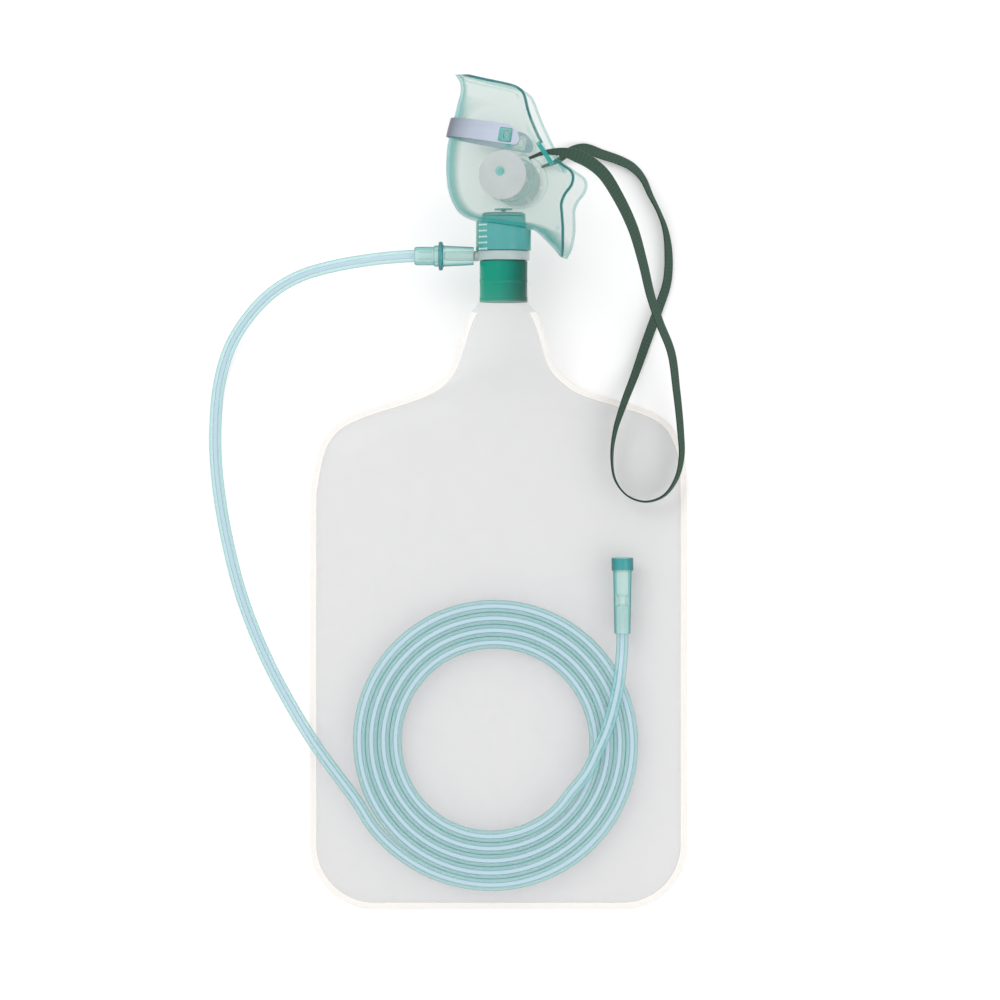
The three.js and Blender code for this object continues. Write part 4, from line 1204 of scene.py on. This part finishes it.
def make_supply(look):
    """Funnel connector: a wide mouth, a tapered body, and the tube pushed into its end."""
    mouth_y = SUPPLY_HIGH[1]
    length = mouth_y - SUPPLY_LOW[1]
    outline = [
        (4.2, 0), (5.13, 0), (5.43, 0.6), (5.43, 6.1), (5.03, 6.7), (4.6, 6.7), (4.0, length),
        (3.3, length), (3.3, 24.6), (1.7, 23.1), (1.7, 19.9), (3.3, 18.4), (3.3, 3.4),
    ]
    turn = placed(SUPPLY_X, mouth_y, SUPPLY_Z, math.pi, "X")
    piece = solid("supply_funnel", moved(turned(rounded(outline, 0.25), 96), turn))
    mark_depth(piece, 3.45, 5.35, lambda p: math.hypot(p.x - SUPPLY_X, p.z - SUPPLY_Z))
    return finished(piece, look, "oxygen_line", ("supply_connector",))


# ---------------- the bag

BAG_HALF, BAG_BOTTOM, BAG_CORNER, BAG_SLOPE = 94.0, -207.2, 32.0, 20.0
WELD_WIDTH = 3.0
NECK_RADIUS = 12.5
NECK_START, NECK_END = 44.0, 91.6
PLEAT_DEPTH = 0.45
FILM_BOTTOM = 0.15
SLEEVE_START, SLEEVE_FADE = 93.0, 3.0   # where the film thins out onto the collar
SLEEVE_MARK = 200.0         # stored as the border distance on the thin sleeve
# Shoulder of the bag, from neck to full width: y, half width, middle of the outline.
SHOULDER = [
    (89.2, 16.4, 2.4), (82.0, 19.4, 2.4), (73.4, 22.1, 2.3), (65.4, 24.8, 2.3),
    (60.8, 27.7, 2.6), (56.4, 32.3, 3.0), (52.7, 37.9, 3.2), (49.4, 46.5, 4.0),
    (46.0, 57.5, 4.4), (42.6, 68.5, 4.4), (38.2, 78.2, 3.4), (33.6, 84.3, 2.2),
    (27.0, 88.7, 1.4), (20.0, 91.3, 1.2), (12.0, 92.8, 0.8), (0.0, 94.0, 0.0),
]


def bag_stations():
    """(y, half width, middle) from the bottom weld to the end of the film sleeve."""
    corner = np.sin(np.linspace(0, math.pi / 2, 22))
    stations = [
        (BAG_BOTTOM + BAG_CORNER * (1 - math.sqrt(1 - u * u)), BAG_HALF - BAG_CORNER * (1 - u), 0.0)
        for u in corner
    ]
    stations += [(y, BAG_HALF, 0.0) for y in np.arange(-171, -3, 4.0)]
    shoulder = [smooth_values(column) for column in zip(*SHOULDER[::-1])]
    stations += [tuple(float(value(u)) for value in shoulder) for u in np.linspace(0, 1, 70)]
    stations += [(93.6, 12.9, AXIS_X), (95.5, NECK_RADIUS, AXIS_X), (105.0, NECK_RADIUS, AXIS_X)]
    stations += [(114.4, NECK_RADIUS, AXIS_X)]
    return stations


def outline_distance(points, stations):
    """Distance of flat points from the bag's outline, in millimetres."""
    left, right = (
        np.array([(middle + side * half, y, 0) for y, half, middle in stations])
        for side in (-1, 1)
    )
    bottom = [(x, BAG_BOTTOM, 0) for x in np.linspace(left[0, 0], right[0, 0], 120)]
    tree = distance_tree(np.vstack([even_path(left, 0.5), even_path(right, 0.5), bottom]))
    return np.array([tree.find((x, y, 0))[2] for x, y in points])


def film_height(x, y, distance):
    """Height of the upper film: weld, slope, and slack waves that fade to the border."""
    inward = np.clip((distance - WELD_WIDTH) / BAG_SLOPE, 0, 1)
    crown = 0.6 + 4.3 * np.sin(inward * math.pi / 2)
    waves = np.sin(x * 0.061 + 1.3 * np.sin(y * 0.023)) * np.cos(y * 0.047 + 0.8)
    cross = np.sin((x + 0.7 * y) * 0.11 + 0.6) * np.sin(y * 0.031 - x * 0.019)
    return crown + inward * (0.38 * waves + 0.2 * cross)


def make_bag(look):
    """Two welded sheets of film with a little gas between them, gathered into the neck."""
    stations = bag_stations()
    columns = 72
    angles = np.pi * np.arange(2 * columns) / columns
    flat_points = [
        (middle - half * math.cos(angle), y) for y, half, middle in stations for angle in angles
    ]
    distance = outline_distance(flat_points, stations)
    points = []
    for i, (y, half, middle) in enumerate(stations):
        neck = eased(min(max((y - NECK_START) / (NECK_END - NECK_START), 0), 1))
        for j, angle in enumerate(angles):
            flat_x = middle - half * math.cos(angle)
            border = distance[i * len(angles) + j]
            height = float(film_height(flat_x, y, border)) if j <= columns else FILM_BOTTOM
            pleat = PLEAT_DEPTH * math.sin(9 * angle) * neck * (1 - neck) * 4
            round_x = AXIS_X - half * math.cos(angle)
            round_z = AXIS_Z + (NECK_RADIUS + pleat) * math.sin(angle)
            points.append((
                flat_x + (round_x - flat_x) * neck, y, height + (round_z - height) * neck,
            ))
    faces = grid_faces(len(stations), 2 * columns, around=True)
    faces.append(tuple(range(2 * columns)))
    piece = solid("bag_film", (np.array(points), faces))
    flat = [(v.co.x, v.co.y) for v in piece.data.vertices]
    values = outline_distance(flat, stations)
    height_up = np.array([y for _, y in flat])
    on_sleeve = eased(np.clip((height_up - SLEEVE_START) / SLEEVE_FADE, 0, 1))
    store(piece, "edge_distance", (values + (SLEEVE_MARK - values) * on_sleeve) * MM)
    finished(piece, look, "bag_assembly", ("reservoir_bag",), crease=60)


# ---------------- assembly

def dress_cad_nodes(teal, silicone):
    """The parts of the inner valve keep their CAD shape and take a finished material."""
    for node, look in (
        ("inhalation_valve_seat", teal), ("inhalation_flap", silicone),
        ("inhalation_flap_retainer", teal),
    ):
        part = frame["nodes"][node]
        part.data.materials.clear()
        part.data.materials.append(look)


FLOOR_REACH, FLOOR_DROP = 2.5, 0.0003   # metres


def make_floor():
    """Plain floor just under the object."""
    corners = [(x * FLOOR_REACH, y * FLOOR_REACH, -FLOOR_DROP)
               for x, y in ((-1, -1), (1, -1), (1, 1), (-1, 1))]
    floor = mesh_object("floor", corners, [(0, 1, 2, 3)])
    floor.data.materials.append(floor_material())


make_camera()
connector = connector_material()
make_tube([make_supply(connector)])
make_strap()
make_studio()
make_floor()

teal = teal_material()
silicone = silicone_material()
film = film_material()
make_mask(mask_material())
make_exhalation_flaps(silicone)
make_nose_clip(aluminium_material())
make_swivel(teal)
make_manifold(milky_material())
make_collar(sleeve_material())
make_neck_band(film)
make_inlet(connector)
make_bag(film)
dress_cad_nodes(teal, silicone)
